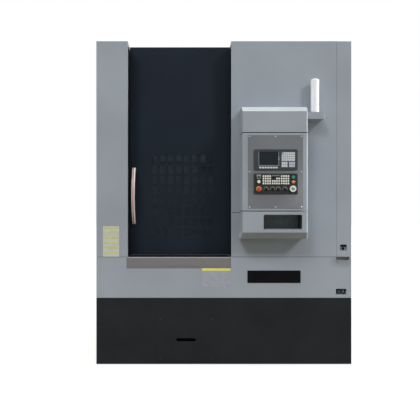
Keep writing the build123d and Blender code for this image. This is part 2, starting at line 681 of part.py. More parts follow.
# Saddle: rides on the X ways at its back and carries the ram's ways at its front
CLAW = 80.0  # half height of a claw round an X way
Z_HEAD = 25.0
Z_NECK = 15.0
Z_HEAD_Y = (RAM_Y[1] + 20.0, RAM_Y[1] + 36.0)
Z_CLAW = 48.0
Z_CLAW_Z = (2020.0, 2330.0)
Z_JOURNAL_R = 12.0
NUT_HALF = 34.0
X_NUT = 60.0  # half length of the X nut
X_NUT_HALF = 50.0
SADDLE_CORNER = 30.0
CLAW_GAP = 8.0  # between the ram and the claws
saddle_x = (RAM_X - SADDLE_WIDTH / 2, RAM_X + SADDLE_WIDTH / 2)
way_face = column_front - WAY_REACH
way_heel = way_face + HEAD_DEPTH
claw_back = column_front - 7.0
ram_ways = (RAM_X - Z_RAIL_SPACING / 2, RAM_X + Z_RAIL_SPACING / 2)
with BuildPart() as saddle_casting:
    block(saddle_x, SADDLE_Y, SADDLE_Z)
    fillet(saddle_casting.edges().filter_by(Axis.Y), radius=SADDLE_CORNER)
    with BuildSketch(Plane.YZ.offset(saddle_x[0])):
        for height in X_RAIL_Z:
            span((SADDLE_Y[1], claw_back), (height - CLAW, height + CLAW))
            head = (height - WAY_HEAD - FREE, height + WAY_HEAD + FREE)
            neck = (height - WAY_NECK - FREE, height + WAY_NECK + FREE)
            span((way_face - FREE, way_heel + FREE), head, mode=Mode.SUBTRACT)
            span((way_heel, claw_back), neck, mode=Mode.SUBTRACT)
    extrude(amount=SADDLE_WIDTH)
    # Nut of the X screw
    nut_z = (X_SCREW_Z - X_NUT_HALF, X_SCREW_Z + X_NUT_HALF)
    block((RAM_X - X_NUT, RAM_X + X_NUT), (SADDLE_Y[1], column_front - 4.0), nut_z)
    with BuildSketch(Plane.YZ.offset(RAM_X - X_NUT)):
        with Locations((X_SCREW_Y, X_SCREW_Z)):
            Circle(X_SCREW_R + FREE)
    extrude(amount=2 * X_NUT, mode=Mode.SUBTRACT)
    # Claws round the ram's ways
    with BuildSketch(Plane.XY.offset(Z_CLAW_Z[0])):
        for way in ram_ways:
            span((way - Z_CLAW, way + Z_CLAW), (RAM_Y[1] + CLAW_GAP, SADDLE_Y[0]))
            head = (way - Z_HEAD - FREE, way + Z_HEAD + FREE)
            neck = (way - Z_NECK - FREE, way + Z_NECK + FREE)
            span(head, (Z_HEAD_Y[0] - FREE, Z_HEAD_Y[1] + FREE), mode=Mode.SUBTRACT)
            span(neck, (RAM_Y[1] + CLAW_GAP, Z_HEAD_Y[0]), mode=Mode.SUBTRACT)
    extrude(amount=Z_CLAW_Z[1] - Z_CLAW_Z[0])
    # Bearing blocks of the Z screw
    bearing_x = (RAM_X - NUT_HALF, RAM_X + NUT_HALF)
    for bearing_z in ((SADDLE_Z[0], SADDLE_Z[0] + 24.0), (SADDLE_Z[1] - 16.0, SADDLE_Z[1])):
        block(bearing_x, (RAM_Y[1] + 6.0, SADDLE_Y[0]), bearing_z)
    with BuildSketch(Plane.XY.offset(SADDLE_Z[0])):
        with Locations((RAM_X, Z_SCREW_Y)):
            Circle(Z_JOURNAL_R + RUN)
    extrude(amount=SADDLE_Z[1] - SADDLE_Z[0], mode=Mode.SUBTRACT)
save(saddle_casting, "saddle_casting")

with BuildPart() as z_screw:
    with BuildSketch(Plane.XY.offset(SADDLE_Z[0] + 1)):
        with Locations((RAM_X, Z_SCREW_Y)):
            Circle(Z_JOURNAL_R)
    extrude(amount=SADDLE_Z[1] - SADDLE_Z[0] - 2)
    with BuildSketch(Plane.XY.offset(SADDLE_Z[0] + 26)):
        with Locations((RAM_X, Z_SCREW_Y)):
            Circle(Z_SCREW_R)
    extrude(amount=SADDLE_Z[1] - SADDLE_Z[0] - 44)
save(z_screw, "z_screw")

# Z drive: belt box on top of the saddle, with the motor standing on it
Z_BOX_Z = (SADDLE_Z[1], SADDLE_Z[1] + 50.0)
z_motor_y = (SADDLE_Y[0] + SADDLE_Y[1]) / 2
z_motor_plane = Plane(origin=(RAM_X, z_motor_y, Z_BOX_Z[1]), x_dir=(1, 0, 0), z_dir=(0, 0, 1))
z_motor = servo_motor(z_motor_plane, 116.0, 205.0)
with BuildPart() as z_servo_motor:
    add(z_motor.part)
    block((RAM_X - 54.0, RAM_X + 54.0), (RAM_Y[1] + 6.0, SADDLE_Y[1]), Z_BOX_Z)
save(z_servo_motor, "z_servo_motor")

# Ram: a slab with T-shaped ways and the Z nut at its back and the turret housing at its foot
HOUSING_HALF = 140.0
HOUSING_Z = (1992.0, 2320.0)
HOUSING_Y = (TURRET_Y[1] + 4.0, RAM_Y[0])
TURRET_SHAFT_R = 60.0
TURRET_SHAFT = 70.0
Z_NUT_Z = (2738.0, 2798.0)
Z_NUT_HALF = 32.0
RAM_POCKET = (150.0, 620.0, 40.0)  # width, height and depth of the core at the front
RAM_POCKET_Z = 2690.0
ram_x = (RAM_X - RAM_WIDTH / 2, RAM_X + RAM_WIDTH / 2)
with BuildPart() as ram_casting:
    block(ram_x, RAM_Y, RAM_Z)
    fillet(ram_casting.edges().filter_by(Axis.Z).group_by(Axis.Y)[0], radius=18.0)
    with BuildSketch(facing(RAM_Y[0])):
        with Locations((RAM_X, RAM_POCKET_Z)):
            RectangleRounded(RAM_POCKET[0], RAM_POCKET[1], 30.0)
    extrude(amount=-RAM_POCKET[2], mode=Mode.SUBTRACT)
    with BuildSketch(Plane.XY.offset(RAM_Z[0] + 5.0)):
        for way in ram_ways:
            span((way - Z_NECK, way + Z_NECK), (RAM_Y[1], Z_HEAD_Y[1]))
            span((way - Z_HEAD, way + Z_HEAD), Z_HEAD_Y)
    extrude(amount=RAM_Z[1] - RAM_Z[0] - 10.0)
    block((RAM_X - Z_NUT_HALF, RAM_X + Z_NUT_HALF), (RAM_Y[1], SADDLE_Y[0] - 4.0), Z_NUT_Z)
    with BuildSketch(Plane.XY.offset(Z_NUT_Z[0])):
        with Locations((RAM_X, Z_SCREW_Y)):
            Circle(Z_SCREW_R + FREE)
    extrude(amount=Z_NUT_Z[1] - Z_NUT_Z[0], mode=Mode.SUBTRACT)
    with BuildSketch(facing(HOUSING_Y[1])):
        span((RAM_X - HOUSING_HALF, RAM_X + HOUSING_HALF), HOUSING_Z, 40.0)
    extrude(amount=HOUSING_Y[1] - HOUSING_Y[0])
    with BuildSketch(facing(HOUSING_Y[0])):
        with Locations((RAM_X, TURRET_Z)):
            Circle(TURRET_SHAFT_R + RUN)
    extrude(amount=-(TURRET_SHAFT + 4.0), mode=Mode.SUBTRACT)
save(ram_casting, "ram_casting")

# Turret: octagonal disc with a radial tool socket in each flat, a hub cap and its shaft
SOCKET = 33.0
SHANK = 32.0
SOCKET_FLOOR = 130.0  # axis to the bottom of a socket
TOOL_STATIONS = (0, 2, 4, 6)
TOOL_TIP = 26.0
HUB_R = 72.0
HUB = 16.0


def station_plane(station, radius):
    """Plane facing outwards on the turret's rim, with station 0 at the bottom."""
    angle = radians(270.0 + station * 360.0 / STATIONS)
    outward = Vector(cos(angle), 0, sin(angle))
    centre = Vector(RAM_X, sum(TURRET_Y) / 2, TURRET_Z)
    return Plane(origin=centre + outward * radius, x_dir=(0, 1, 0), z_dir=outward)


with BuildPart() as turret_disc:
    with BuildSketch(facing(TURRET_Y[1])):
        with Locations((RAM_X, TURRET_Z)):
            RegularPolygon(TURRET_FLAT, STATIONS, major_radius=False, rotation=180.0 / STATIONS)
    extrude(amount=TURRET_Y[1] - TURRET_Y[0])
    chamfer(turret_disc.faces().sort_by(Axis.Y)[0].edges(), length=8.0)
    with BuildSketch(facing(TURRET_Y[0])):
        with Locations((RAM_X, TURRET_Z)):
            Circle(HUB_R)
    extrude(amount=HUB, taper=20)
    with BuildSketch(facing(TURRET_Y[1])):
        with Locations((RAM_X, TURRET_Z)):
            Circle(TURRET_SHAFT_R)
    extrude(amount=-TURRET_SHAFT)
    for station in range(STATIONS):
        with BuildSketch(station_plane(station, SOCKET_FLOOR)):
            Rectangle(SOCKET, SOCKET)
        extrude(amount=TURRET_FLAT - SOCKET_FLOOR + 1.0, mode=Mode.SUBTRACT)
save(turret_disc, "turret_disc")

with BuildPart() as turret_tools:
    for station in TOOL_STATIONS:
        with BuildSketch(station_plane(station, SOCKET_FLOOR)):
            Rectangle(SHANK, SHANK)
        extrude(amount=TOOL_REACH - SOCKET_FLOOR - TOOL_TIP)
        with BuildSketch(station_plane(station, TOOL_REACH - TOOL_TIP)):
            Rectangle(SHANK, SHANK)
        extrude(amount=TOOL_TIP, taper=24)
save(turret_tools, "turret_tools")

# Spindle: housing in the base's bore, two bearings, shaft with pulley and cylinder, chuck
HOUSING_FLANGE_Z = (BASE_Z[1], BASE_Z[1] + 50.0)
HOUSING_TOP = 872.0
BEARINGS_Z = ((320.0, 384.0), (764.0, 846.0))
HOUSING_FLANGE_R = 295.0
HOUSING_R = 228.0
NOSE_R = 168.0
CYLINDER_R = 110.0
CYLINDER_FOOT = 66.0
PULLEY_LIP = 8.0
spindle_axis = Axis((SPINDLE_X, SPINDLE_Y, 0), (0, 0, 1))
spindle_plane = Plane(origin=(SPINDLE_X, SPINDLE_Y, 0), x_dir=(1, 0, 0), z_dir=(0, -1, 0))
with BuildPart() as spindle_housing:
    with BuildSketch(spindle_plane):
        span((BEARING_R, BORE_R - 0.5), (BOSS_FOOT, HOUSING_FLANGE_Z[0]))
        span((BEARING_R, HOUSING_FLANGE_R), HOUSING_FLANGE_Z)
        span((BEARING_R, HOUSING_R), (HOUSING_FLANGE_Z[1], HOUSING_TOP))
        span((SHAFT_R + 4.0, BEARING_R + 1.0), (HOUSING_TOP - 22.0, HOUSING_TOP))
    revolve(axis=spindle_axis)
save(spindle_housing, "spindle_housing")

with BuildPart() as spindle_bearings:
    with BuildSketch(spindle_plane):
        for bearing_z in BEARINGS_Z:
            span((SHAFT_R + RUN, BEARING_R), bearing_z)
    revolve(axis=spindle_axis)
save(spindle_bearings, "spindle_bearings")

with BuildPart() as spindle_shaft:
    with BuildSketch(spindle_plane):
        span((0, SHAFT_R), (PULLEY_Z[1], CHUCK_Z[0] - 40.0))
        span((0, NOSE_R), (CHUCK_Z[0] - 50.0, CHUCK_Z[0]))
        span((0, SPINDLE_PULLEY_R), PULLEY_Z)
        span((0, CYLINDER_R), (CYLINDER_FOOT, PULLEY_Z[0]))
        for edge in PULLEY_Z:
            lip = (edge - 5.0, edge + 5.0)
            span((0, SPINDLE_PULLEY_R + PULLEY_LIP), lip)
    revolve(axis=spindle_axis)
save(spindle_shaft, "spindle_shaft")

JAW_ANGLES = (90.0, 210.0, 330.0)
SLOT_DEPTH = 55.0
SLOT_START = 100.0  # axis to the inner end of a slot
CHUCK_BORE_R = 82.0
CHUCK_BORE = 12.0
JAW_FOOT = (130.0, 292.0)
JAW_BACK = 300.0
JAW_HEAD = 72.0  # width of a jaw above the chuck
JAW_STEPS = ((120.0, 40.0), (180.0, 66.0), (240.0, JAW_TOP - CHUCK_Z[1] - FREE))


def jaw_plane(angle, level):
    """Plane at this height on the spindle axis, with X along a jaw's slot."""
    outward = (cos(radians(angle)), sin(radians(angle)), 0)
    return Plane(origin=(SPINDLE_X, SPINDLE_Y, level), x_dir=outward, z_dir=(0, 0, 1))


with BuildPart() as chuck_body:
    with BuildSketch(spindle_plane):
        span((0, CHUCK_R), CHUCK_Z)
    revolve(axis=spindle_axis)
    fillet(chuck_body.edges().filter_by(GeomType.CIRCLE), radius=8.0)
    with BuildSketch(Plane.XY.offset(CHUCK_Z[1])):
        with Locations((SPINDLE_X, SPINDLE_Y)):
            Circle(CHUCK_BORE_R)
    extrude(amount=-CHUCK_BORE, mode=Mode.SUBTRACT)
    for angle in JAW_ANGLES:
        with BuildSketch(jaw_plane(angle, CHUCK_Z[1])):
            span((SLOT_START, CHUCK_R + 5.0), (-SLOT_WIDTH / 2, SLOT_WIDTH / 2))
        extrude(amount=-SLOT_DEPTH, mode=Mode.SUBTRACT)
save(chuck_body, "chuck_body")

for number, angle in enumerate(JAW_ANGLES, start=1):
    with BuildPart() as chuck_jaw:
        with BuildSketch(jaw_plane(angle, CHUCK_Z[1] - SLOT_DEPTH + FREE)):
            span(JAW_FOOT, (-JAW_WIDTH / 2, JAW_WIDTH / 2))
        extrude(amount=SLOT_DEPTH)
        for inner, rise in JAW_STEPS:
            with BuildSketch(jaw_plane(angle, CHUCK_Z[1] + FREE)):
                span((inner, JAW_BACK), (-JAW_HEAD / 2, JAW_HEAD / 2))
            extrude(amount=rise)
    save(chuck_jaw, f"chuck_jaw_{number}")

# Spindle drive: motor on its bracket beside the base, its pulley and the belt
MOTOR_FOOT = 330.0
MOTOR_SIZE = 300.0
MOTOR_SHAFT_R = 32.0
MOTOR_LENGTH = 500.0
MOTOR_BRACKET = 30.0
BRACKET_HALF = 175.0
BRACKET_RISE = 170.0
BELT_INSET = 8.0
motor_plane = Plane(origin=(MOTOR_X, SPINDLE_Y, MOTOR_FOOT), x_dir=(1, 0, 0), z_dir=(0, 0, 1))
motor_axis = Axis((MOTOR_X, SPINDLE_Y, 0), (0, 0, 1))
drive_motor = servo_motor(motor_plane, MOTOR_SIZE, MOTOR_LENGTH)
with BuildPart() as spindle_motor:
    add(drive_motor.part)
    bracket_y = (SPINDLE_Y - BRACKET_HALF, SPINDLE_Y + BRACKET_HALF)
    bracket_foot = MOTOR_FOOT - MOTOR_BRACKET
    block((BASE_X[1], MOTOR_X + BRACKET_HALF), bracket_y, (bracket_foot, MOTOR_FOOT))
    block((BASE_X[1], BASE_X[1] + MOTOR_BRACKET), bracket_y, (bracket_foot, MOTOR_FOOT + BRACKET_RISE))
    with BuildSketch(Plane.XY.offset(bracket_foot)):
        with Locations((MOTOR_X, SPINDLE_Y)):
            Circle(MOTOR_SHAFT_R + RUN)
    extrude(amount=60.0, mode=Mode.SUBTRACT)
save(spindle_motor, "spindle_motor")

with BuildPart() as motor_pulley:
    with BuildSketch(Plane(origin=(MOTOR_X, SPINDLE_Y, 0), x_dir=(1, 0, 0), z_dir=(0, -1, 0))):
        span((0, MOTOR_SHAFT_R), (PULLEY_Z[1], MOTOR_FOOT + 28.0))
        span((0, MOTOR_PULLEY_R), PULLEY_Z)
        for edge in PULLEY_Z:
            span((0, MOTOR_PULLEY_R + PULLEY_LIP), (edge - 5.0, edge + 5.0))
    revolve(axis=motor_axis)
save(motor_pulley, "motor_pulley")


def belt_loop(margin):
    """Outline that wraps both pulleys at this margin, in the sketch it is called from."""
    with Locations((SPINDLE_X, SPINDLE_Y)):
        Circle(SPINDLE_PULLEY_R + margin)
    with Locations((MOTOR_X, SPINDLE_Y)):
        Circle(MOTOR_PULLEY_R + margin)


with BuildPart() as drive_belt:
    belt_z = inset(PULLEY_Z, BELT_INSET)
    with BuildSketch(Plane.XY.offset(belt_z[0])):
        belt_loop(BELT + FREE)
        make_hull()
    extrude(amount=belt_z[1] - belt_z[0])
    with BuildSketch(Plane.XY.offset(belt_z[0])):
        belt_loop(FREE)
        make_hull()
    extrude(amount=belt_z[1] - belt_z[0], mode=Mode.SUBTRACT)
save(drive_belt, "drive_belt")

# Work-area liner: walls and chip pan in one weldment, open to the door, upwards and to the slides
LINER_X = (-930.0, 430.0)
LINER_Y = (FRONT + 215.0, FRONT + 1148.0)
LINER_Z = (800.0, 2990.0)
APRON_TOP = 1960.0
DOOR_EDGE = 85.0
DOORWAY_FOOT = 1030.0
PAN_HOLE_R = 240.0
PAN_COLLAR = 58.0  # height of the collar round the spindle housing
CHUTE_X = (-640.0, -220.0)
CHUTE_Y = (FRONT + 250.0, FRONT + 362.0)
with BuildPart() as work_area_liner:
    block(LINER_X, LINER_Y, LINER_Z)
    liner_inner = inset(LINER_X, SHEET)
    block(liner_inner, inset(LINER_Y, SHEET), (LINER_Z[0] + SHEET, LINER_Z[1]), mode=Mode.SUBTRACT)
    doorway_y = (LINER_Y[0], LINER_Y[0] + SHEET)
    block((liner_inner[0], DOOR_EDGE), doorway_y, (DOORWAY_FOOT, LINER_Z[1]), mode=Mode.SUBTRACT)
    block(liner_inner, (LINER_Y[1] - SHEET, LINER_Y[1]), (APRON_TOP, LINER_Z[1]), mode=Mode.SUBTRACT)
    block(CHUTE_X, CHUTE_Y, (LINER_Z[0], LINER_Z[0] + SHEET), mode=Mode.SUBTRACT)
    with BuildSketch(Plane.XY.offset(LINER_Z[0])):
        with Locations((SPINDLE_X, SPINDLE_Y)):
            Circle(PAN_HOLE_R + SHEET)
    extrude(amount=PAN_COLLAR)
    with BuildSketch(Plane.XY.offset(LINER_Z[0])):
        with Locations((SPINDLE_X, SPINDLE_Y)):
            Circle(PAN_HOLE_R)
    extrude(amount=PAN_COLLAR, mode=Mode.SUBTRACT)
save(work_area_liner, "work_area_liner")

# Coolant tank under the chip chute, open on top, with the pump on a bridge at its right-hand end
TANK_X = (-900.0, 300.0)
TANK_Y = (FRONT + 82.0, FRONT + 328.0)
TANK_Z = (20.0, 520.0)
TANK_WALL = 4.0
TANK_CORNER = 12.0
SKID = 60.0
BRIDGE_LEFT = 80.0  # left edge of the pump's bridge
PUMP_FOOT = 150.0
PUMP = (190.0, FRONT + 205.0)
# Radius and length of the suction pipe, the flange, the motor and its cap, going up
PUMP_SECTIONS = ((40.0, 374.0), (80.0, 10.0), (62.0, 186.0), (66.0, 22.0))
with BuildPart() as coolant_tank:
    block(TANK_X, TANK_Y, TANK_Z)
    fillet(coolant_tank.edges().filter_by(Axis.Z), radius=TANK_CORNER)
    tank_inside_z = (TANK_Z[0] + TANK_WALL, TANK_Z[1])
    block(inset(TANK_X, TANK_WALL), inset(TANK_Y, TANK_WALL), tank_inside_z, mode=Mode.SUBTRACT)
    for skid in (TANK_X[0] + 100.0, TANK_X[1] - 100.0 - SKID):
        block((skid, skid + SKID), inset(TANK_Y, 10.0), (0.0, TANK_Z[0]))
    block((BRIDGE_LEFT, TANK_X[1]), TANK_Y, (TANK_Z[1], TANK_Z[1] + TANK_WALL))
    pump_rise = PUMP_FOOT
    for pump_r, pump_length in PUMP_SECTIONS:
        with BuildSketch(Plane.XY.offset(pump_rise)):
            with Locations(PUMP):
                Circle(pump_r)
        extrude(amount=pump_length)
        pump_rise += pump_length
save(coolant_tank, "coolant_tank")

# Electrical cabinet on legs that stand on the frame, a shell open underneath for the cables
CABINET_X = (640.0, 1190.0)
CABINET_Y = (FRONT + 330.0, FRONT + 1330.0)
CABINET_Z = (880.0, 2900.0)
LEG = 60.0
CABINET_WALL = 2.0
CABINET_CORNER = 10.0
with BuildPart() as electrical_cabinet:
    block(CABINET_X, CABINET_Y, CABINET_Z)
    fillet(electrical_cabinet.edges().filter_by(Axis.Z), radius=CABINET_CORNER)
    offset(amount=-CABINET_WALL, openings=electrical_cabinet.faces().sort_by(Axis.Z)[0])
    for leg_x in ((CABINET_X[0], CABINET_X[0] + LEG), (CABINET_X[1] - LEG, CABINET_X[1])):
        for leg_y in ((CABINET_Y[0], CABINET_Y[0] + LEG), (CABINET_Y[1] - LEG, CABINET_Y[1])):
            block(inset(leg_x, 1.0), inset(leg_y, 1.0), (LOW_BEAM_Z[1], CABINET_Z[0] + 40.0))
save(electrical_cabinet, "electrical_cabinet")

# Operator console: three folded boxes one above another, open towards the wall
TOP_BEVEL = 47.0
CHIN = 1287.0  # lower edge of the lower box's face
CHIN_RUN = 60.0  # depth over which its underside slopes down to the back
CHIN_FLARE = 12.0  # that its lower rim stands out at each side
BRACKET_X = (CONSOLE_X[1], 929.0)
BRACKET_Y = (FRONT - 130.0, FRONT)
BRACKET_Z = (2341.0, 2406.0)
POCKET_DEPTH = 170.0
POCKET_CORNER = 14.0
console_width = CONSOLE_X[1] - CONSOLE_X[0]
half_gap = CONSOLE_GAP / 2


def console_box(outline):
    """Shell from a side outline of (Y, Z) points, rounded at its upright front edges, open at the back."""
    with BuildPart() as box:
        with BuildSketch(Plane.YZ.offset(CONSOLE_X[0])):
            with BuildLine():
                Polyline(*outline, close=True)
            make_face()
        extrude(amount=console_width)
        fillet(box.edges().filter_by(Axis.Z).group_by(Axis.Y)[0], radius=CONSOLE_EDGE)
        offset(amount=-SHEET, openings=box.faces().sort_by(Axis.Y)[-1])
    return box


top_foot = CONSOLE_JOINTS[1] + half_gap
top_shell = console_box(
    (
        (FRONT, top_foot),
        (CONSOLE_FACE, top_foot),
        (CONSOLE_FACE, CONSOLE_Z[1] - TOP_BEVEL),
        (CONSOLE_FACE + TOP_BEVEL, CONSOLE_Z[1]),
        (FRONT, CONSOLE_Z[1]),
    )
)
with BuildPart() as console_top:
    add(top_shell.part)
    # Lamp bracket: a short box beam on the right-hand side
    block(BRACKET_X, BRACKET_Y, BRACKET_Z)
    fillet(console_top.edges().filter_by(Axis.Z).group_by(Axis.X)[-1], radius=4.0)
    hollow_x = (BRACKET_X[0], BRACKET_X[1] - SHEET)
    hollow_y = (BRACKET_Y[0] + SHEET, BRACKET_Y[1])
    block(hollow_x, hollow_y, inset(BRACKET_Z, SHEET), mode=Mode.SUBTRACT)
save(console_top, "console_top")

middle_z = (CONSOLE_JOINTS[0] + half_gap, CONSOLE_JOINTS[1] - half_gap)
middle_shell = console_box(
    (
        (FRONT, middle_z[0]),
        (CONSOLE_FACE, middle_z[0]),
        (CONSOLE_FACE, middle_z[1]),
        (FRONT, middle_z[1]),
    )
)
with BuildPart() as console_middle:
    add(middle_shell.part)
    with BuildSketch(facing(CONSOLE_FACE)):
        span(inset(PLATE_X, PLATE_LAP), inset(PLATE_Z, PLATE_LAP))
    extrude(amount=-SHEET, mode=Mode.SUBTRACT)
save(console_middle, "console_middle")

lower_top = CONSOLE_JOINTS[0] - half_gap
chin_x = inset(CONSOLE_X, -CHIN_FLARE)
blank_back = FRONT + 2 * CONSOLE_EDGE  # the blanks run on into the wall and are cut off there


def lower_blank(wall):
    """Lower box with its flared chin, as a blank that much smaller all round than the outside."""
    corner = CONSOLE_EDGE - wall
    face = CONSOLE_FACE + wall
    with BuildPart() as blank:
        with BuildSketch(Plane.XY.offset(CHIN)):
            span(inset(CONSOLE_X, wall), (face, blank_back), corner)
        extrude(amount=lower_top - wall - CHIN)
        with BuildSketch(Plane.XY.offset(CHIN)) as chin_top:
            span(inset(CONSOLE_X, wall), (face, blank_back), corner)
        with BuildSketch(Plane.XY.offset(CONSOLE_Z[0] + wall)) as chin_foot:
            span(inset(chin_x, wall), (face + CHIN_RUN, blank_back), corner)
        loft([chin_top.sketch, chin_foot.sketch], ruled=True)
    return blank.part


with BuildPart() as console_bottom:
    add(lower_blank(0.0))
    add(lower_blank(SHEET), mode=Mode.SUBTRACT)
    block(inset(chin_x, -1), (FRONT, blank_back + 1), (CONSOLE_Z[0] - 1, lower_top + 1), mode=Mode.SUBTRACT)
    # Tool pocket: an open-fronted tray welded behind the cut-out
    tray_y = (CONSOLE_FACE + SHEET, CONSOLE_FACE + POCKET_DEPTH)
    with BuildSketch(facing(tray_y[0])):
        span(inset(POCKET_X, -PORT_WALL), inset(POCKET_Z, -PORT_WALL), POCKET_CORNER + PORT_WALL)
    extrude(amount=tray_y[0] - tray_y[1])
    with BuildSketch(facing(CONSOLE_FACE)):
        span(POCKET_X, POCKET_Z, POCKET_CORNER)
    extrude(amount=CONSOLE_FACE - tray_y[1] + PORT_WALL, mode=Mode.SUBTRACT)
save(console_bottom, "console_bottom")

# Signal lamp: a round tube of five lights, grooved between them
LAMP = (857.0, FRONT - 65.0)
LAMP_R = 38.5
LAMP_TOP = 2725.0
LAMP_LIGHTS = 5
LAMP_EDGE = 9.0
RING_DEPTH = 1.5
lamp_plane = Plane(origin=(LAMP[0], LAMP[1], BRACKET_Z[1]), x_dir=(1, 0, 0), z_dir=(0, -1, 0))
lamp_height = LAMP_TOP - BRACKET_Z[1]
with BuildPart() as signal_lamp:
    with BuildSketch(lamp_plane):
        span((0, LAMP_R), (0, lamp_height))
        for ring in range(1, LAMP_LIGHTS):
            ring_z = lamp_height * ring / LAMP_LIGHTS
            span((LAMP_R - RING_DEPTH, LAMP_R), (ring_z - 1.0, ring_z + 1.0), mode=Mode.SUBTRACT)
    revolve(axis=Axis((LAMP[0], LAMP[1], 0), (0, 0, 1)))
    fillet(signal_lamp.faces().sort_by(Axis.Z)[-1].edges(), radius=LAMP_EDGE)
save(signal_lamp, "signal_lamp")

with BuildPart() as control_plate:
    with BuildSketch(facing(CONSOLE_FACE)):
        span(PLATE_X, PLATE_Z, 3.0)
    extrude(amount=SHEET)
save(control_plate, "control_plate")

# Display unit: moulded bezel with a sunk screen, soft keys under it and keypads beside it
SCREEN_X = (303.0, 477.0)
SCREEN_Z = (1900.0, 2021.0)
SOFT_KEY_X = (303.0, 469.0)
SOFT_KEY_Z = (1869.0, 1883.0)
KEYPAD_X = (507.0, 626.0)
KEYPAD_Z = (1937.0, 2015.0)
EDIT_Z = (1880.0, 1928.0)
EDIT_WIDTH = 51.0
CURSOR_WIDTH = 53.0
PAD_GAP = 3.0
SOFT_KEY_GAP = 6.0
SCREEN_SUNK = 2.0


def key_grid(across, up, columns, rows, gap):
    """Raised keys that fill a rectangle, in the sketch it is called from."""
    pitch_x = (across[1] - across[0] + gap) / columns
    pitch_z = (up[1] - up[0] + gap) / rows
    with Locations((sum(across) / 2, sum(up) / 2)):
        with GridLocations(pitch_x, pitch_z, columns, rows):
            Rectangle(pitch_x - gap, pitch_z - gap)


with BuildPart() as display_unit:
    with BuildSketch(facing(PLATE_FACE)):
        span(UNIT_X, DISPLAY_UNIT_Z, 14.0)
    extrude(amount=UNIT_THICK)
    fillet(display_unit.faces().sort_by(Axis.Y)[0].edges(), radius=3.0)
    with BuildSketch(facing(UNIT_FACE)):
        span(SCREEN_X, SCREEN_Z)
    extrude(amount=-SCREEN_SUNK, mode=Mode.SUBTRACT)
    with BuildSketch(facing(UNIT_FACE)):
        key_grid(SOFT_KEY_X, SOFT_KEY_Z, 7, 1, SOFT_KEY_GAP)
        key_grid(KEYPAD_X, KEYPAD_Z, 7, 4, PAD_GAP)
        key_grid((KEYPAD_X[0], KEYPAD_X[0] + EDIT_WIDTH), EDIT_Z, 3, 2, PAD_GAP)
        key_grid((KEYPAD_X[1] - CURSOR_WIDTH, KEYPAD_X[1]), EDIT_Z, 3, 2, PAD_GAP)
    extrude(amount=KEY_RISE)
save(display_unit, "display_unit")

# Operator panel: keys in three groups, bezels for the switches and blind holes for their stems
KEY_GROUPS_X = ((335.0, 408.0), (418.5, 489.5), (500.0, 573.5))
KEY_ROWS_Z = (1725.0, 1806.0)
KEY_GAP = 7.5
row_pitch = (KEY_ROWS_Z[1] - KEY_ROWS_Z[0] + KEY_GAP) / 4
SWITCHES = {
    "key": (299.0, 1791.0),
    "white": (299.0, 1748.0),
    "green": (611.0, 1789.0),
    "orange": (611.0, 1746.0),
}
STOP = (299.0, 1684.0)
WHEEL = (607.0, 1684.0)
SELECTORS_X = (366.0, 425.0, 476.0, 537.0)
SELECTOR_Z = 1683.0
BEZEL_R = 16.5
BEZEL_WALL = 1.5
BEZEL_RISE = 4.0
STEM_R = 6.0
STOP_STEM_R = 11.0
HOLE_DEPTH = 9.5
selectors = [(x, SELECTOR_Z) for x in SELECTORS_X]
with BuildPart() as operator_panel:
    with BuildSketch(facing(PLATE_FACE)):
        span(UNIT_X, PANEL_UNIT_Z, 6.0)
    extrude(amount=UNIT_THICK)
    chamfer(operator_panel.faces().sort_by(Axis.Y)[0].edges(), length=1.5)
    with BuildSketch(facing(UNIT_FACE)):
        key_grid(KEY_GROUPS_X[0], KEY_ROWS_Z, 4, 4, KEY_GAP)
        key_grid(KEY_GROUPS_X[2], KEY_ROWS_Z, 4, 4, KEY_GAP)
        low_rows = (KEY_ROWS_Z[0], KEY_ROWS_Z[0] + 2 * row_pitch - KEY_GAP)
        key_grid(KEY_GROUPS_X[1], low_rows, 4, 2, KEY_GAP)
        right_half = ((sum(KEY_GROUPS_X[1]) + KEY_GAP) / 2, KEY_GROUPS_X[1][1])
        third_row = (low_rows[1] + KEY_GAP, low_rows[1] + row_pitch)
        key_grid(right_half, third_row, 2, 1, KEY_GAP)
    extrude(amount=KEY_RISE)
    with BuildSketch(facing(UNIT_FACE)):
        with Locations(*SWITCHES.values()):
            Circle(BEZEL_R)
            Circle(BEZEL_R - BEZEL_WALL, mode=Mode.SUBTRACT)
    extrude(amount=BEZEL_RISE)
    with BuildSketch(facing(UNIT_FACE)):
        with Locations(*SWITCHES.values(), *selectors, WHEEL):
            Circle(STEM_R + RUN)
        with Locations(STOP):
            Circle(STOP_STEM_R + RUN)
    extrude(amount=-HOLE_DEPTH, mode=Mode.SUBTRACT)
save(operator_panel, "operator_panel")

# Push buttons: a domed cap that sinks into its bezel, on a stem
BUTTON_TRAVEL = 3.0
CAP_R = BEZEL_R - BEZEL_WALL - FREE
CAP_RISE = 6.0
CAP_EDGE = 2.0
STEM_IN = 5.0  # stem inside the panel
for colour in ("white", "green", "orange"):
    with BuildPart() as button:
        with BuildSketch(facing(UNIT_FACE - BUTTON_TRAVEL - FREE)):
            with Locations(SWITCHES[colour]):
                Circle(CAP_R)
        extrude(amount=CAP_RISE)
        fillet(button.faces().sort_by(Axis.Y)[0].edges(), radius=CAP_EDGE)
        with BuildSketch(facing(UNIT_FACE - BUTTON_TRAVEL - FREE)):
            with Locations(SWITCHES[colour]):
                Circle(STEM_R)
        extrude(amount=-(BUTTON_TRAVEL + STEM_IN))
    save(button, f"{colour}_button")

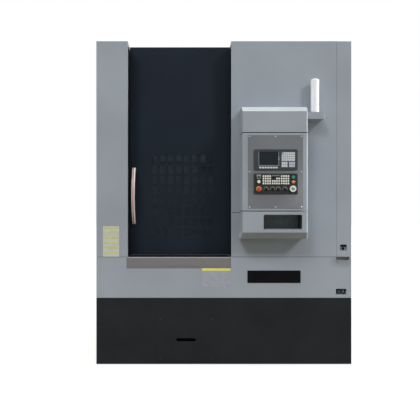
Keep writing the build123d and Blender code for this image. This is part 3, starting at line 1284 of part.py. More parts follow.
# Emergency stop: mushroom head on its stem
STOP_TRAVEL = 4.0
STOP_HEAD_R = 17.5
STOP_HEAD = 17.0
STOP_STEM_IN = 4.5
stop_foot = -STOP_TRAVEL - 1.5
stop_plane = Plane(origin=(STOP[0], UNIT_FACE, STOP[1]), x_dir=(1, 0, 0), z_dir=(0, 0, 1))
with BuildPart() as estop_button:
    with BuildSketch(stop_plane):
        span((0, STOP_STEM_R), (stop_foot, STOP_STEM_IN))
        span((0, STOP_HEAD_R), (stop_foot - STOP_HEAD, stop_foot))
    revolve(axis=Axis((STOP[0], 0, STOP[1]), (0, 1, 0)))
    rim = estop_button.edges().filter_by(GeomType.CIRCLE)
    fillet(rim.sort_by(Axis.Y)[0], radius=7.0)
    chamfer(rim.filter_by(lambda edge: edge.radius == STOP_HEAD_R).sort_by(Axis.Y)[-1], length=3.0)
save(estop_button, "estop_button")

# Rotary selectors: a skirted knob with a raised pointer bar
KNOB_R = 13.0
KNOB_SKIRT = 8.0
POINTER = 9.0
POINTER_WIDTH = 8.0
KNOB_STEM = 8.0
for number, place in enumerate(selectors, start=1):
    with BuildPart() as selector:
        with BuildSketch(facing(UNIT_FACE - FREE)):
            with Locations(place):
                Circle(KNOB_R)
        extrude(amount=KNOB_SKIRT, taper=6)
        with BuildSketch(facing(UNIT_FACE - FREE - KNOB_SKIRT)):
            with Locations(place):
                SlotOverall(2 * KNOB_R - 3.0, POINTER_WIDTH, rotation=90)
        extrude(amount=POINTER)
        with BuildSketch(facing(UNIT_FACE - FREE)):
            with Locations(place):
                Circle(STEM_R)
        extrude(amount=-KNOB_STEM)
    save(selector, f"selector_knob_{number}")

# Key switch: a turning barrel with the bow of its key
BARREL_R = 10.5
BARREL = 6.0
KEY_THICK = 2.5
BLADE = (9.0, 6.0)  # width and length of the key between the barrel and its bow
KEY_BOW = (24.0, 16.0)
key_place = SWITCHES["key"]
with BuildPart() as key_switch:
    with BuildSketch(facing(UNIT_FACE - FREE)):
        with Locations(key_place):
            Circle(BARREL_R)
    extrude(amount=BARREL)
    with BuildSketch(facing(UNIT_FACE - FREE - BARREL)):
        with Locations(key_place):
            Rectangle(KEY_THICK, BLADE[0])
    extrude(amount=BLADE[1])
    with BuildSketch(Plane.YZ.offset(key_place[0] - KEY_THICK / 2)):
        with Locations((UNIT_FACE - 20.0, key_place[1])):
            SlotOverall(KEY_BOW[0], KEY_BOW[1], rotation=90)
            Circle(3.0, mode=Mode.SUBTRACT)
    extrude(amount=KEY_THICK)
    with BuildSketch(facing(UNIT_FACE - FREE)):
        with Locations(key_place):
            Circle(STEM_R)
    extrude(amount=-KNOB_STEM)
save(key_switch, "key_switch")

# Pulse handwheel: a knurled dial with a turning grip
WHEEL_R = 29.5
WHEEL_RISE = 18.0
WHEEL_RIM = 6.0
WHEEL_SUNK = 2.0
KNURLS = 24
KNURL_R = 2.2
GRIP_REACH = 15.0
GRIP_R = 5.0
wheel_face = UNIT_FACE - FREE - WHEEL_RISE
grip_end = CONSOLE_FACE - CONTROL_REACH
with BuildPart() as handwheel:
    with BuildSketch(facing(UNIT_FACE - FREE)):
        with Locations(WHEEL):
            Circle(WHEEL_R)
            with PolarLocations(WHEEL_R, KNURLS):
                Circle(KNURL_R, mode=Mode.SUBTRACT)
    extrude(amount=WHEEL_RISE)
    with BuildSketch(facing(wheel_face)):
        with Locations(WHEEL):
            Circle(WHEEL_R - WHEEL_RIM)
    extrude(amount=-WHEEL_SUNK, mode=Mode.SUBTRACT)
    with BuildSketch(facing(wheel_face + WHEEL_SUNK)):
        with Locations((WHEEL[0], WHEEL[1] + GRIP_REACH)):
            Circle(GRIP_R)
    extrude(amount=wheel_face + WHEEL_SUNK - grip_end)
    with BuildSketch(facing(UNIT_FACE - FREE)):
        with Locations(WHEEL):
            Circle(STEM_R)
    extrude(amount=-KNOB_STEM)
save(handwheel, "handwheel")
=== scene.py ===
import math

import bmesh
import bpy
from mathutils import Matrix, Vector


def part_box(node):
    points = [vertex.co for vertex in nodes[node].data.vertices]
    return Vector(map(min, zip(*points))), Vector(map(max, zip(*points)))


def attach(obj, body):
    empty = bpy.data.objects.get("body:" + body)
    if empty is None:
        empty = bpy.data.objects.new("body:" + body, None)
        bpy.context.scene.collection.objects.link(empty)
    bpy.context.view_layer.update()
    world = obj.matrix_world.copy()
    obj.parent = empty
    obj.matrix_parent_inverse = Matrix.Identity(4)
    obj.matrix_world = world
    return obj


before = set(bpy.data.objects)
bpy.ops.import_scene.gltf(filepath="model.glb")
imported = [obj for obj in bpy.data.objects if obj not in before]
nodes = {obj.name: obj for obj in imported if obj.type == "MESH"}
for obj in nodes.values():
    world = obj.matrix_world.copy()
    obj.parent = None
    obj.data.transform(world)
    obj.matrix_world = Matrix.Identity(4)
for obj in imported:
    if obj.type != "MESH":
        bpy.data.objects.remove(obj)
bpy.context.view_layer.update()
scene = bpy.context.scene
scene.view_settings.view_transform = "Standard"
mm = 0.001
patterns = []  # small master pieces that the node trees repeat, removed at the end

# faces that the added pieces sit on
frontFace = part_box("front_right_panel")[0].y
keyRise = 2.5 * mm
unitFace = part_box("display_unit")[0].y + keyRise
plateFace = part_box("control_plate")[0].y
print("frame loaded:", len(nodes), "nodes")


def linear(hexCode):
    channels = [int(hexCode[i:i + 2], 16) / 255 for i in (1, 3, 5)]
    return tuple(c / 12.92 if c <= 0.04045 else ((c + 0.055) / 1.055) ** 2.4 for c in channels) + (1.0,)


def addNode(tree, kind, settings=None, values=None, links=None):
    node = tree.nodes.new(kind)
    for name, value in (settings or {}).items():
        setattr(node, name, value)
    for socket, value in (values or {}).items():
        node.inputs[socket].default_value = value
    for socket, source in (links or {}).items():
        tree.links.new(source, node.inputs[socket])
    return node


# The part of each noise's range that counts, a patch's streaks and the bump's depth as a share of the grain
noise = {
    "cloud": (0.35, 0.65), "scuff": (0.66, 0.78), "widen": 0.1, "grain": (0.3, 0.7),
    "streakMm": 14, "streakShape": (1, 1, 0.15), "depth": 0.1,
}


# A finish clouds between two tones, with a fine grain in the roughness and the bump;
# it may have scuffs all over, or a patch of another tone at one place
def finish(name, look):
    material = bpy.data.materials.new(name)
    material.use_nodes = True
    tree = material.node_tree
    tree.nodes.clear()
    place = addNode(tree, "ShaderNodeTexCoord").outputs["Object"]
    drawn = addNode(
        tree, "ShaderNodeMapping", values={"Scale": look.get("stretch", (1, 1, 1))}, links={"Vector": place}
    ).outputs["Vector"]
    cloud = addNode(
        tree, "ShaderNodeTexNoise",
        values={"Scale": 1 / (look["cloudMm"] * mm), "Detail": 3.0}, links={"Vector": drawn},
    )
    spread = addNode(
        tree, "ShaderNodeMapRange",
        values={"From Min": noise["cloud"][0], "From Max": noise["cloud"][1]},
        links={"Value": cloud.outputs["Fac"]},
    )
    dark, pale = look["tones"]
    tone = addNode(
        tree, "ShaderNodeMix", settings={"data_type": "RGBA"},
        values={6: linear(dark), 7: linear(pale)}, links={0: spread.outputs["Result"]},
    ).outputs[2]
    if "scuff" in look:
        scuffTone, scuffMm, cover = look["scuff"]
        marks = addNode(
            tree, "ShaderNodeTexNoise",
            values={"Scale": 1 / (scuffMm * mm), "Detail": 6.0, "Roughness": 0.7}, links={"Vector": place},
        )
        edge = addNode(
            tree, "ShaderNodeMapRange",
            values={
                "From Min": noise["scuff"][0] - noise["widen"] * cover, "From Max": noise["scuff"][1],
                "To Max": cover,
            },
            links={"Value": marks.outputs["Fac"]},
        )
        tone = addNode(
            tree, "ShaderNodeMix", settings={"data_type": "RGBA"},
            values={7: linear(scuffTone)}, links={0: edge.outputs["Result"], 6: tone},
        ).outputs[2]
    if "patch" in look:
        patchTone, centre, reach = look["patch"]
        near = addNode(
            tree, "ShaderNodeMapping",
            values={"Location": [-c / r for c, r in zip(centre, reach)], "Scale": [1 / r for r in reach]},
            links={"Vector": place},
        )
        fade = addNode(
            tree, "ShaderNodeTexGradient",
            settings={"gradient_type": "SPHERICAL"}, links={"Vector": near.outputs["Vector"]},
        )
        streaks = addNode(
            tree, "ShaderNodeMapping", values={"Scale": noise["streakShape"]}, links={"Vector": place}
        )
        runs = addNode(
            tree, "ShaderNodeTexNoise", values={"Scale": 1 / (noise["streakMm"] * mm), "Detail": 3.0},
            links={"Vector": streaks.outputs["Vector"]},
        )
        amount = addNode(
            tree, "ShaderNodeMath", settings={"operation": "MULTIPLY"},
            links={0: fade.outputs["Fac"], 1: runs.outputs["Fac"]},
        )
        tone = addNode(
            tree, "ShaderNodeMix", settings={"data_type": "RGBA"},
            values={7: linear(patchTone)}, links={0: amount.outputs[0], 6: tone},
        ).outputs[2]
    grain = addNode(
        tree, "ShaderNodeTexNoise",
        values={"Scale": 1 / (look["grainMm"] * mm), "Detail": 2.0}, links={"Vector": drawn},
    )
    smooth, rough = look["rough"]
    gloss = addNode(
        tree, "ShaderNodeMapRange",
        values={
            "From Min": noise["grain"][0], "From Max": noise["grain"][1], "To Min": smooth, "To Max": rough,
        },
        links={"Value": grain.outputs["Fac"]},
    )
    bump = addNode(
        tree, "ShaderNodeBump",
        values={"Strength": look["bump"], "Distance": look["grainMm"] * mm * noise["depth"]},
        links={"Height": grain.outputs["Fac"]},
    )
    shader = addNode(
        tree, "ShaderNodeBsdfPrincipled", settings={"name": "Shader"}, values=look.get("shader", {}),
        links={"Base Color": tone, "Roughness": gloss.outputs["Result"], "Normal": bump.outputs["Normal"]},
    )
    addNode(tree, "ShaderNodeOutputMaterial", links={"Surface": shader.outputs["BSDF"]})
    return material


# Powder coat on folded sheet steel: satin, with an orange peel drawn a little coarse so that it shows
greyCoat = finish("PowderCoatGrey", {
    "tones": ("#878F9A", "#8E97A2"), "cloudMm": 700, "grainMm": 5, "rough": (0.42, 0.52), "bump": 0.12,
    "shader": {"Specular IOR Level": 0.25},
})
# The same coat on the lower panel, darker in vertical streaks round the finger notch
notchCoat = finish("PowderCoatGreyDarkAtNotch", {
    "tones": ("#88909A", "#8F98A2"), "cloudMm": 700, "grainMm": 5, "rough": (0.42, 0.52), "bump": 0.12,
    "patch": ("#2C302F", (1.135, -0.807, 1.004), (0.14, 0.1, 0.085)), "shader": {"Specular IOR Level": 0.25},
})
# The same coat on the console, which gets handled: a little smoother
consoleCoat = finish("PowderCoatConsole", {
    "tones": ("#878F99", "#8E97A1"), "cloudMm": 400, "grainMm": 4, "rough": (0.36, 0.46), "bump": 0.1,
    "shader": {"Specular IOR Level": 0.28},
})
# Stainless sheet, brushed along the sill: long fine streaks and a warm grey
sillSteel = finish("BrushedStainlessSill", {
    "tones": ("#616062", "#6C6B6D"), "cloudMm": 90, "grainMm": 3, "rough": (0.42, 0.6), "bump": 0.15,
    "stretch": (0.05, 1, 1), "scuff": ("#8D8C8E", 60, 0.4), "shader": {"Metallic": 0.25},
})
# Textured black paint on the plinth: dull, with grey rubs from shoes and trolleys
plinthPaint = finish("TexturedPaintCharcoal", {
    "tones": ("#191C1F", "#1E2124"), "cloudMm": 350, "grainMm": 4, "rough": (0.6, 0.75), "bump": 0.3,
    "scuff": ("#33363A", 45, 0.3), "shader": {"Specular IOR Level": 0.1},
})
# Door: smoother black-blue coat
doorCoat = finish("PowderCoatBlack", {
    "tones": ("#131B26", "#161F2A"), "cloudMm": 600, "grainMm": 4, "rough": (0.5, 0.6), "bump": 0.1,
    "shader": {"Specular IOR Level": 0.1},
})
# Window: dark tinted safety glass behind the guard bars
windowGlass = finish("TintedSafetyGlass", {
    "tones": ("#55626E", "#5D6A76"), "cloudMm": 500, "grainMm": 60, "rough": (0.02, 0.04), "bump": 0.02,
    "shader": {"Transmission Weight": 0.94, "IOR": 1.16},
})
# Handle bar: bright aluminium, brushed along its length, with a rose strip let into its front; its pale tone
# beside the strip is also a painted highlight along the bar's edges
handleMetalAndHighlight = finish("BrushedAluminiumHandleHighlight", {
    "tones": ("#C6BEBB", "#D2CBC8"), "cloudMm": 120, "grainMm": 2, "rough": (0.3, 0.4), "bump": 0.08,
    "stretch": (1, 1, 0.1), "shader": {"Metallic": 0.3},
})
stripRose = finish("MouldedVinylRose", {
    "tones": ("#9A6660", "#A5716B"), "cloudMm": 80, "grainMm": 2, "rough": (0.4, 0.5), "bump": 0.05,
})
# Control plate: bead-blasted anodised aluminium, flat mid grey, paler towards its lower right
plateGrey = finish("AnodisedPlateGrey", {
    "tones": ("#63676E", "#6A6E75"), "cloudMm": 250, "grainMm": 2, "rough": (0.5, 0.6), "bump": 0.1,
    "patch": ("#8B8F96", (0.69, -1.05, 1.68), (0.22, 0.2, 0.34)), "shader": {"Specular IOR Level": 0.2},
})
# Moulded ABS bezels: fine spark texture
bezelPlastic = finish("MouldedAbsCharcoal", {
    "tones": ("#34383B", "#393D41"), "cloudMm": 120, "grainMm": 1.5, "rough": (0.45, 0.55), "bump": 0.2,
    "shader": {"Specular IOR Level": 0.15},
})
panelPlastic = finish("MouldedAbsBlack", {
    "tones": ("#242626", "#292B2B"), "cloudMm": 120, "grainMm": 1.5, "rough": (0.45, 0.55), "bump": 0.2,
    "shader": {"Specular IOR Level": 0.15},
})
# Knobs, buttons and lenses: smoother mouldings
knobPlastic = finish("PhenolicKnobBlack", {
    "tones": ("#08090A", "#0D0E0F"), "cloudMm": 30, "grainMm": 1, "rough": (0.3, 0.4), "bump": 0.1,
    "shader": {"Specular IOR Level": 0.1},
})
redPlastic = finish("MouldedPolycarbonateRed", {
    "tones": ("#B01C1A", "#BE2420"), "cloudMm": 20, "grainMm": 1, "rough": (0.28, 0.36), "bump": 0.05,
})
yellowPlastic = finish("MouldedAbsYellow", {
    "tones": ("#B98846", "#C29250"), "cloudMm": 20, "grainMm": 1, "rough": (0.4, 0.5), "bump": 0.05,
})
greenLens = finish("ButtonLensGreen", {
    "tones": ("#15786C", "#1C8276"), "cloudMm": 15, "grainMm": 1, "rough": (0.2, 0.28), "bump": 0.03,
})
orangeLens = finish("ButtonLensOrange", {
    "tones": ("#B96C3A", "#C47744"), "cloudMm": 15, "grainMm": 1, "rough": (0.2, 0.28), "bump": 0.03,
})
whiteLens = finish("ButtonLensWhite", {
    "tones": ("#C6C6C1", "#D0D0CB"), "cloudMm": 15, "grainMm": 1, "rough": (0.2, 0.28), "bump": 0.03,
})
# Key caps: matt silicone rubber
keyWhite = finish("KeyRubberWhite", {
    "tones": ("#CFD2CF", "#DADCD8"), "cloudMm": 14, "grainMm": 1, "rough": (0.5, 0.6), "bump": 0.05,
})
keyPale = finish("KeyRubberPaleGrey", {
    "tones": ("#B5B9C1", "#BDC1C8"), "cloudMm": 14, "grainMm": 1, "rough": (0.5, 0.6), "bump": 0.05,
})
keyLilac = finish("KeyRubberLilac", {
    "tones": ("#A1A6BA", "#A9AEC2"), "cloudMm": 14, "grainMm": 1, "rough": (0.5, 0.6), "bump": 0.05,
})
keyBlue = finish("KeyRubberBlue", {
    "tones": ("#5E8FC6", "#6898CC"), "cloudMm": 14, "grainMm": 1, "rough": (0.5, 0.6), "bump": 0.05,
})
# Screen: coated display glass over a dark panel
screenGlass = finish("CoatedScreenGlass", {
    "tones": ("#131B24", "#182029"), "cloudMm": 40, "grainMm": 30, "rough": (0.12, 0.18), "bump": 0.02,
    "shader": {"Specular IOR Level": 0.15},
})
# Screen frame and thin trims: grey moulded plastic
frameGrey = finish("MouldedAbsGrey", {
    "tones": ("#72777B", "#7A7F83"), "cloudMm": 60, "grainMm": 1, "rough": (0.4, 0.5), "bump": 0.08,
})
# Signal lamp tube: opal acrylic, almost white
opalAcrylic = finish("OpalAcrylic", {
    "tones": ("#DFE2E9", "#E5E8EF"), "cloudMm": 90, "grainMm": 6, "rough": (0.22, 0.3), "bump": 0.03,
    "shader": {"Subsurface Weight": 0.2, "Subsurface Scale": 0.01},
})
# Fasteners: zinc-plated or black oxide
zincSteel = finish("ZincPlatedSteel", {
    "tones": ("#B9BCBE", "#CACCCD"), "cloudMm": 6, "grainMm": 0.6, "rough": (0.28, 0.4), "bump": 0.1,
    "shader": {"Metallic": 0.9},
})
blackScrew = finish("BlackOxideSteel", {
    "tones": ("#2A2C2E", "#34373A"), "cloudMm": 6, "grainMm": 0.6, "rough": (0.35, 0.5), "bump": 0.1,
    "shader": {"Metallic": 0.5},
})
# Turned aluminium of the handwheel: bright, with a satin cut
turnedAluminium = finish("TurnedAluminium", {
    "tones": ("#C9CBCA", "#D8DAD8"), "cloudMm": 15, "grainMm": 0.8, "rough": (0.25, 0.38), "bump": 0.1,
    "shader": {"Metallic": 0.85},
})
# Its dial: anodised and dull
dialGrey = finish("AnodisedDialGrey", {
    "tones": ("#6E7269", "#797D74"), "cloudMm": 10, "grainMm": 0.8, "rough": (0.45, 0.55), "bump": 0.1,
})
# Iron castings: filled and painted, with a soft lumpy skin
castPaint = finish("PaintedCastIron", {
    "tones": ("#6F7A78", "#7B8684"), "cloudMm": 220, "grainMm": 9, "rough": (0.5, 0.62), "bump": 0.35,
    "scuff": ("#4B5250", 80, 0.3),
})
# Machined and ground steel: chuck, jaws, screws and ways
groundSteel = finish("GroundSteel", {
    "tones": ("#9DA0A2", "#AEB1B3"), "cloudMm": 40, "grainMm": 1.5, "rough": (0.22, 0.36), "bump": 0.12,
    "shader": {"Metallic": 0.95},
})
toolSteel = finish("HardenedToolSteel", {
    "tones": ("#54575A", "#606366"), "cloudMm": 25, "grainMm": 1.5, "rough": (0.3, 0.45), "bump": 0.12,
    "shader": {"Metallic": 0.85},
})
# Work-area lining: plain stainless sheet, splashed with coolant
linerSteel = finish("StainlessLining", {
    "tones": ("#8B9093", "#979C9F"), "cloudMm": 300, "grainMm": 4, "rough": (0.34, 0.5), "bump": 0.1,
    "scuff": ("#6B7072", 120, 0.4), "shader": {"Metallic": 0.6},
})
# Motors: black enamel
motorPaint = finish("MotorEnamelBlack", {
    "tones": ("#202326", "#292C2F"), "cloudMm": 100, "grainMm": 4, "rough": (0.4, 0.5), "bump": 0.15,
})
# Drive belt: dull rubber
beltRubber = finish("RubberBelt", {
    "tones": ("#161616", "#1E1E1E"), "cloudMm": 40, "grainMm": 2, "rough": (0.7, 0.8), "bump": 0.25,
})
# Fittings in the service port
bluePlastic = finish("MouldedNylonBlue", {
    "tones": ("#3A3E68", "#444872"), "cloudMm": 20, "grainMm": 1, "rough": (0.35, 0.45), "bump": 0.05,
})
pipeGrey = finish("ConduitPvcGrey", {
    "tones": ("#62666A", "#6E7276"), "cloudMm": 20, "grainMm": 1, "rough": (0.4, 0.5), "bump": 0.08,
})
# Foam behind the finger notch: open and matt
notchFoam = finish("SealFoamWarmGrey", {
    "tones": ("#8A8783", "#949290"), "cloudMm": 12, "grainMm": 3, "rough": (0.8, 0.9), "bump": 0.4,
})
# Lining of the tool pocket: matt grey felt, dark only because it lies in the shade
pocketFelt = finish("FeltLiningGrey", {
    "tones": ("#737C83", "#7E878E"), "cloudMm": 40, "grainMm": 3, "rough": (0.85, 0.95), "bump": 0.3,
    "shader": {"Specular IOR Level": 0.05},
})
# Rubber mat on the sill, seals at the jambs and in the panel seam: dull black
sealRubber = finish("SealRubberBlack", {
    "tones": ("#0B0D10", "#101317"), "cloudMm": 60, "grainMm": 3, "rough": (0.7, 0.8), "bump": 0.2,
    "shader": {"Specular IOR Level": 0.05},
})
# Plain sheets and plates
sheetWhite = finish("VinylSheetWhite", {
    "tones": ("#AEB2AE", "#B6BAB6"), "cloudMm": 60, "grainMm": 2, "rough": (0.35, 0.45), "bump": 0.04,
})
sheetPale = finish("VinylSheetPaleGrey", {
    "tones": ("#888C97", "#9195A0"), "cloudMm": 25, "grainMm": 2, "rough": (0.35, 0.45), "bump": 0.04,
})
bandYellow = finish("VinylBandYellow", {
    "tones": ("#ACAE79", "#B8BA86"), "cloudMm": 40, "grainMm": 2, "rough": (0.35, 0.45), "bump": 0.04,
})
headYellow = finish("VinylHeaderYellow", {
    "tones": ("#CCC95C", "#D6D369"), "cloudMm": 40, "grainMm": 2, "rough": (0.35, 0.45), "bump": 0.04,
})
plateBlack = finish("EnamelPlateBlack", {
    "tones": ("#0A0B0F", "#0D0E12"), "cloudMm": 90, "grainMm": 3, "rough": (0.3, 0.4), "bump": 0.05,
    "shader": {"Specular IOR Level": 0.04},
})
# Ink of the selectors' scales
scaleInk = finish("PrintedInkGrey", {
    "tones": ("#6C6F6C", "#777A77"), "cloudMm": 8, "grainMm": 1, "rough": (0.5, 0.6), "bump": 0.02,
})
print("finishes made")

# Every CAD node takes its finish
dressing = [
    (greyCoat, "front_left_panel front_right_panel side_panel_left side_panel_right "
               "rear_panel roof_panel cabinet_door electrical_cabinet enclosure_frame"),
    (notchCoat, "front_lower_panel"),
    (consoleCoat, "console_bottom console_middle console_top"),
    (sillSteel, "door_sill"),
    (plinthPaint, "base_skirt access_cover coolant_tank"),
    (doorCoat, "door_panel window_guard"),
    (windowGlass, "door_window"),
    (handleMetalAndHighlight, "door_handle"),
    (plateGrey, "control_plate"),
    (bezelPlastic, "display_unit"),
    (panelPlastic, "operator_panel"),
    (opalAcrylic, "signal_lamp"),
    (castPaint, "base_casting column_casting saddle_casting ram_casting spindle_housing"),
    (groundSteel, "chuck_body spindle_shaft turret_disc x_screw z_screw spindle_bearings door_roller_left "
                  "door_roller_right motor_pulley"),
    (toolSteel, "chuck_jaw_1 chuck_jaw_2 chuck_jaw_3 turret_tools leveling_feet"),
    (linerSteel, "work_area_liner"),
    (motorPaint, "spindle_motor x_servo_motor z_servo_motor"),
    (beltRubber, "drive_belt"),
    (redPlastic, "estop_button"),
    (whiteLens, "white_button"),
    (greenLens, "green_button"),
    (orangeLens, "orange_button"),
    (knobPlastic, "selector_knob_1 selector_knob_2 selector_knob_3 selector_knob_4 latch_knob"),
    (blackScrew, "key_switch"),
    (turnedAluminium, "handwheel"),
]
dressed = set()
for material, names in dressing:
    for name in names.split():
        nodes[name].data.materials.clear()
        nodes[name].data.materials.append(material)
        dressed.add(name)
print("nodes dressed:", len(dressed), "left:", sorted(set(nodes) - dressed))


# Link a mesh as a piece that moves with a body
def addPiece(name, mesh, material, body="machine"):
    piece = bpy.data.objects.new(name, mesh)
    scene.collection.objects.link(piece)
    mesh.materials.clear()
    mesh.materials.append(material)
    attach(piece, body)
    return piece


cornerSteps = 4


# Points round a rectangle in the XZ plane with round corners, of one radius at the top and one at the foot
def roundedLoop(across, up, corners, level):
    loop = []
    for sideX, sideZ, start in ((1, 1, 0), (-1, 1, 90), (-1, -1, 180), (1, -1, 270)):
        corner = corners[0] if sideZ > 0 else corners[1]
        centreX = across[1] - corner if sideX > 0 else across[0] + corner
        centreZ = up[1] - corner if sideZ > 0 else up[0] + corner
        for step in range(cornerSteps + 1):
            angle = math.radians(start + 90 / cornerSteps * step)
            spotX = centreX + corner * math.cos(angle)
            spotZ = centreZ + corner * math.sin(angle)
            loop.append(Vector((spotX * mm, level, spotZ * mm)))
    return loop


def meshFrom(name, form):
    mesh = bpy.data.meshes.new(name)
    form.to_mesh(mesh)
    form.free()
    return mesh


# A flat plate with round corners and a softened front edge
def plateMesh(name, across, up, backFace, thick, corner, soften, footCorner=None):
    form = bmesh.new()
    rim = [form.verts.new(spot) for spot in roundedLoop(across, up, (corner, footCorner or corner), backFace)]
    back = form.faces.new(rim)
    raised = bmesh.ops.extrude_face_region(form, geom=[back])
    front = [v for v in raised["geom"] if isinstance(v, bmesh.types.BMVert)]
    bmesh.ops.translate(form, verts=front, vec=(0, -thick * mm, 0))
    bmesh.ops.recalc_face_normals(form, faces=form.faces)
    frontEdges = [e for e in form.edges if all(v in front for v in e.verts)]
    bmesh.ops.bevel(form, geom=frontEdges, offset=soften * mm, segments=2, affect="EDGES", profile=0.5)
    return meshFrom(name, form)


# A plate as a piece, from its settings in mm; its back may lie behind the face
def addPlate(name, plate, face, body="machine"):
    backFace = face + plate.get("back", 0.0) * mm
    mesh = plateMesh(
        name, plate["x"], plate["z"], backFace, plate["thick"],
        plate["corner"], plate["soften"], plate.get("foot"),
    )
    return addPiece(name, mesh, plate["finish"], body)


# A lining for a recess: a thin-walled tray, open to the front
def trayMesh(name, across, up, corner, face, deep, wall):
    inner = [[pair[0] + wall, pair[1] - wall] for pair in (across, up)]
    loops = [
        roundedLoop(across, up, (corner, corner), face),
        roundedLoop(across, up, (corner, corner), face + deep * mm),
        roundedLoop(*inner, (corner - wall, corner - wall), face + (deep - wall) * mm),
        roundedLoop(*inner, (corner - wall, corner - wall), face),
    ]
    form = bmesh.new()
    rings = [[form.verts.new(spot) for spot in loop] for loop in loops]
    for k in range(4):
        nearRing, farRing = rings[k], rings[(k + 1) % 4]
        if k == 1:
            form.faces.new(nearRing)
            form.faces.new(farRing)
            continue
        for i in range(len(nearRing)):
            j = (i + 1) % len(nearRing)
            form.faces.new((nearRing[i], nearRing[j], farRing[j], farRing[i]))
    bmesh.ops.recalc_face_normals(form, faces=form.faces)
    return meshFrom(name, form)


# A ring or disc turned about an axis that points out of the front, from a closed profile of radius and height
def turnedMesh(name, centre, face, profile, steps=48):
    points, faces = [], []
    count = len(profile)
    for step in range(steps):
        angle = 2 * math.pi * step / steps
        for radius, height in profile:
            across = centre[0] + radius * math.cos(angle)
            up = centre[1] + radius * math.sin(angle)
            points.append((across * mm, face - height * mm, up * mm))
    for step in range(steps):
        here = step * count
        there = (step + 1) % steps * count
        for k in range(count):
            after = (k + 1) % count
            faces.append((here + k, here + after, there + after, there + k))
    mesh = bpy.data.meshes.new(name)
    mesh.from_pydata(points, [], faces)
    form = bmesh.new()
    form.from_mesh(mesh)
    bmesh.ops.recalc_face_normals(form, faces=form.faces)
    form.to_mesh(mesh)
    form.free()
    return mesh


# Keep a form as a master piece for the node trees, where outward is +Z
def keepMaster(name, form):
    master = bpy.data.objects.new(name, meshFrom(name, form))
    scene.collection.objects.link(master)
    patterns.append(master)
    return master


# A block with soft edges, except at its foot
def capMaster(name, width, depth, height, soften):
    form = bmesh.new()
    bmesh.ops.create_cube(form, size=1.0)
    bmesh.ops.scale(form, vec=(width * mm, depth * mm, height * mm), verts=form.verts)
    bmesh.ops.translate(form, vec=(0, 0, height * mm / 2), verts=form.verts)
    topEdges = [e for e in form.edges if not all(v.co.z < height * mm / 2 for v in e.verts)]
    bmesh.ops.bevel(form, geom=topEdges, offset=soften * mm, segments=2, affect="EDGES", profile=0.6)
    return keepMaster(name, form)


# Rings of a button-head screw with a hexagon socket: share of the radius, share of the height, hexagonal
screwRings = (
    (1.0, 0.0, False), (1.0, 0.3, False), (0.9, 0.7, False),
    (0.68, 1.0, False), (0.5, 1.0, True), (0.48, 0.35, True),
)
screwSides = 18


def screwMaster(name, radius, height):
    form = bmesh.new()
    rings = []
    for share, level, hexagonal in screwRings:
        ring = []
        for step in range(screwSides):
            angle = math.radians(360 / screwSides * step)
            flat = math.cos(math.pi / 6) / math.cos(angle % (math.pi / 3) - math.pi / 6) if hexagonal else 1.0
            across = radius * share * flat * mm
            spot = (across * math.cos(angle), across * math.sin(angle), height * level * mm)
            ring.append(form.verts.new(spot))
        rings.append(ring)
    for low, high in zip(rings, rings[1:]):
        for i in range(screwSides):
            j = (i + 1) % screwSides
            form.faces.new((low[i], low[j], high[j], high[i]))
    form.faces.new(rings[0])
    form.faces.new(rings[-1])
    bmesh.ops.recalc_face_normals(form, faces=form.faces)
    return keepMaster(name, form)


# Start a node tree with named inputs
def startTree(name, inputs):
    tree = bpy.data.node_groups.new(name, "GeometryNodeTree")
    tree.interface.new_socket("Geometry", in_out="INPUT", socket_type="NodeSocketGeometry")
    for label, kind in inputs:
        tree.interface.new_socket(label, in_out="INPUT", socket_type=kind)
    tree.interface.new_socket("Geometry", in_out="OUTPUT", socket_type="NodeSocketGeometry")
    given = addNode(tree, "NodeGroupInput")
    return tree, given.outputs


def endTree(tree, geometry, material):
    whole = addNode(tree, "GeometryNodeRealizeInstances", links={"Geometry": geometry})
    coated = addNode(
        tree, "GeometryNodeSetMaterial",
        links={"Geometry": whole.outputs["Geometry"], "Material": material},
    )
    addNode(tree, "NodeGroupOutput", links={"Geometry": coated.outputs["Geometry"]})


# Rows and columns of one cap, centred on a place and facing the front
def keyGridTree():
    tree, given = startTree("KeyGrid", (
        ("Columns", "NodeSocketInt"), ("Rows", "NodeSocketInt"), ("Pitch X", "NodeSocketFloat"),
        ("Pitch Z", "NodeSocketFloat"), ("Centre", "NodeSocketVector"), ("Cap", "NodeSocketObject"),
        ("Finish", "NodeSocketMaterial"),
    ))
    lines = []
    for count, pitch, axis in (("Columns", "Pitch X", "X"), ("Rows", "Pitch Z", "Y")):
        step = addNode(tree, "ShaderNodeCombineXYZ", links={axis: given[pitch]})
        gaps = addNode(
            tree, "ShaderNodeMath", settings={"operation": "SUBTRACT"},
            values={1: 1.0}, links={0: given[count]},
        )
        half = addNode(
            tree, "ShaderNodeMath", settings={"operation": "MULTIPLY"},
            values={1: -0.5}, links={0: gaps.outputs[0]},
        )
        start = addNode(
            tree, "ShaderNodeVectorMath", settings={"operation": "SCALE"},
            links={0: step.outputs[0], "Scale": half.outputs[0]},
        )
        lines.append(addNode(
            tree, "GeometryNodeMeshLine", settings={"mode": "OFFSET"},
            links={"Count": given[count], "Start Location": start.outputs[0], "Offset": step.outputs[0]},
        ))
    rows = addNode(
        tree, "GeometryNodeInstanceOnPoints",
        links={"Points": lines[1].outputs[0], "Instance": lines[0].outputs[0]},
    )
    spots = addNode(tree, "GeometryNodeRealizeInstances", links={"Geometry": rows.outputs[0]})
    cap = addNode(tree, "GeometryNodeObjectInfo", links={"Object": given["Cap"]})
    caps = addNode(
        tree, "GeometryNodeInstanceOnPoints",
        links={"Points": spots.outputs[0], "Instance": cap.outputs["Geometry"]},
    )
    stood = addNode(
        tree, "GeometryNodeTransform", values={"Rotation": (math.pi / 2, 0, 0)},
        links={"Geometry": caps.outputs[0], "Translation": given["Centre"]},
    )
    endTree(tree, stood.outputs[0], given["Finish"])
    return tree


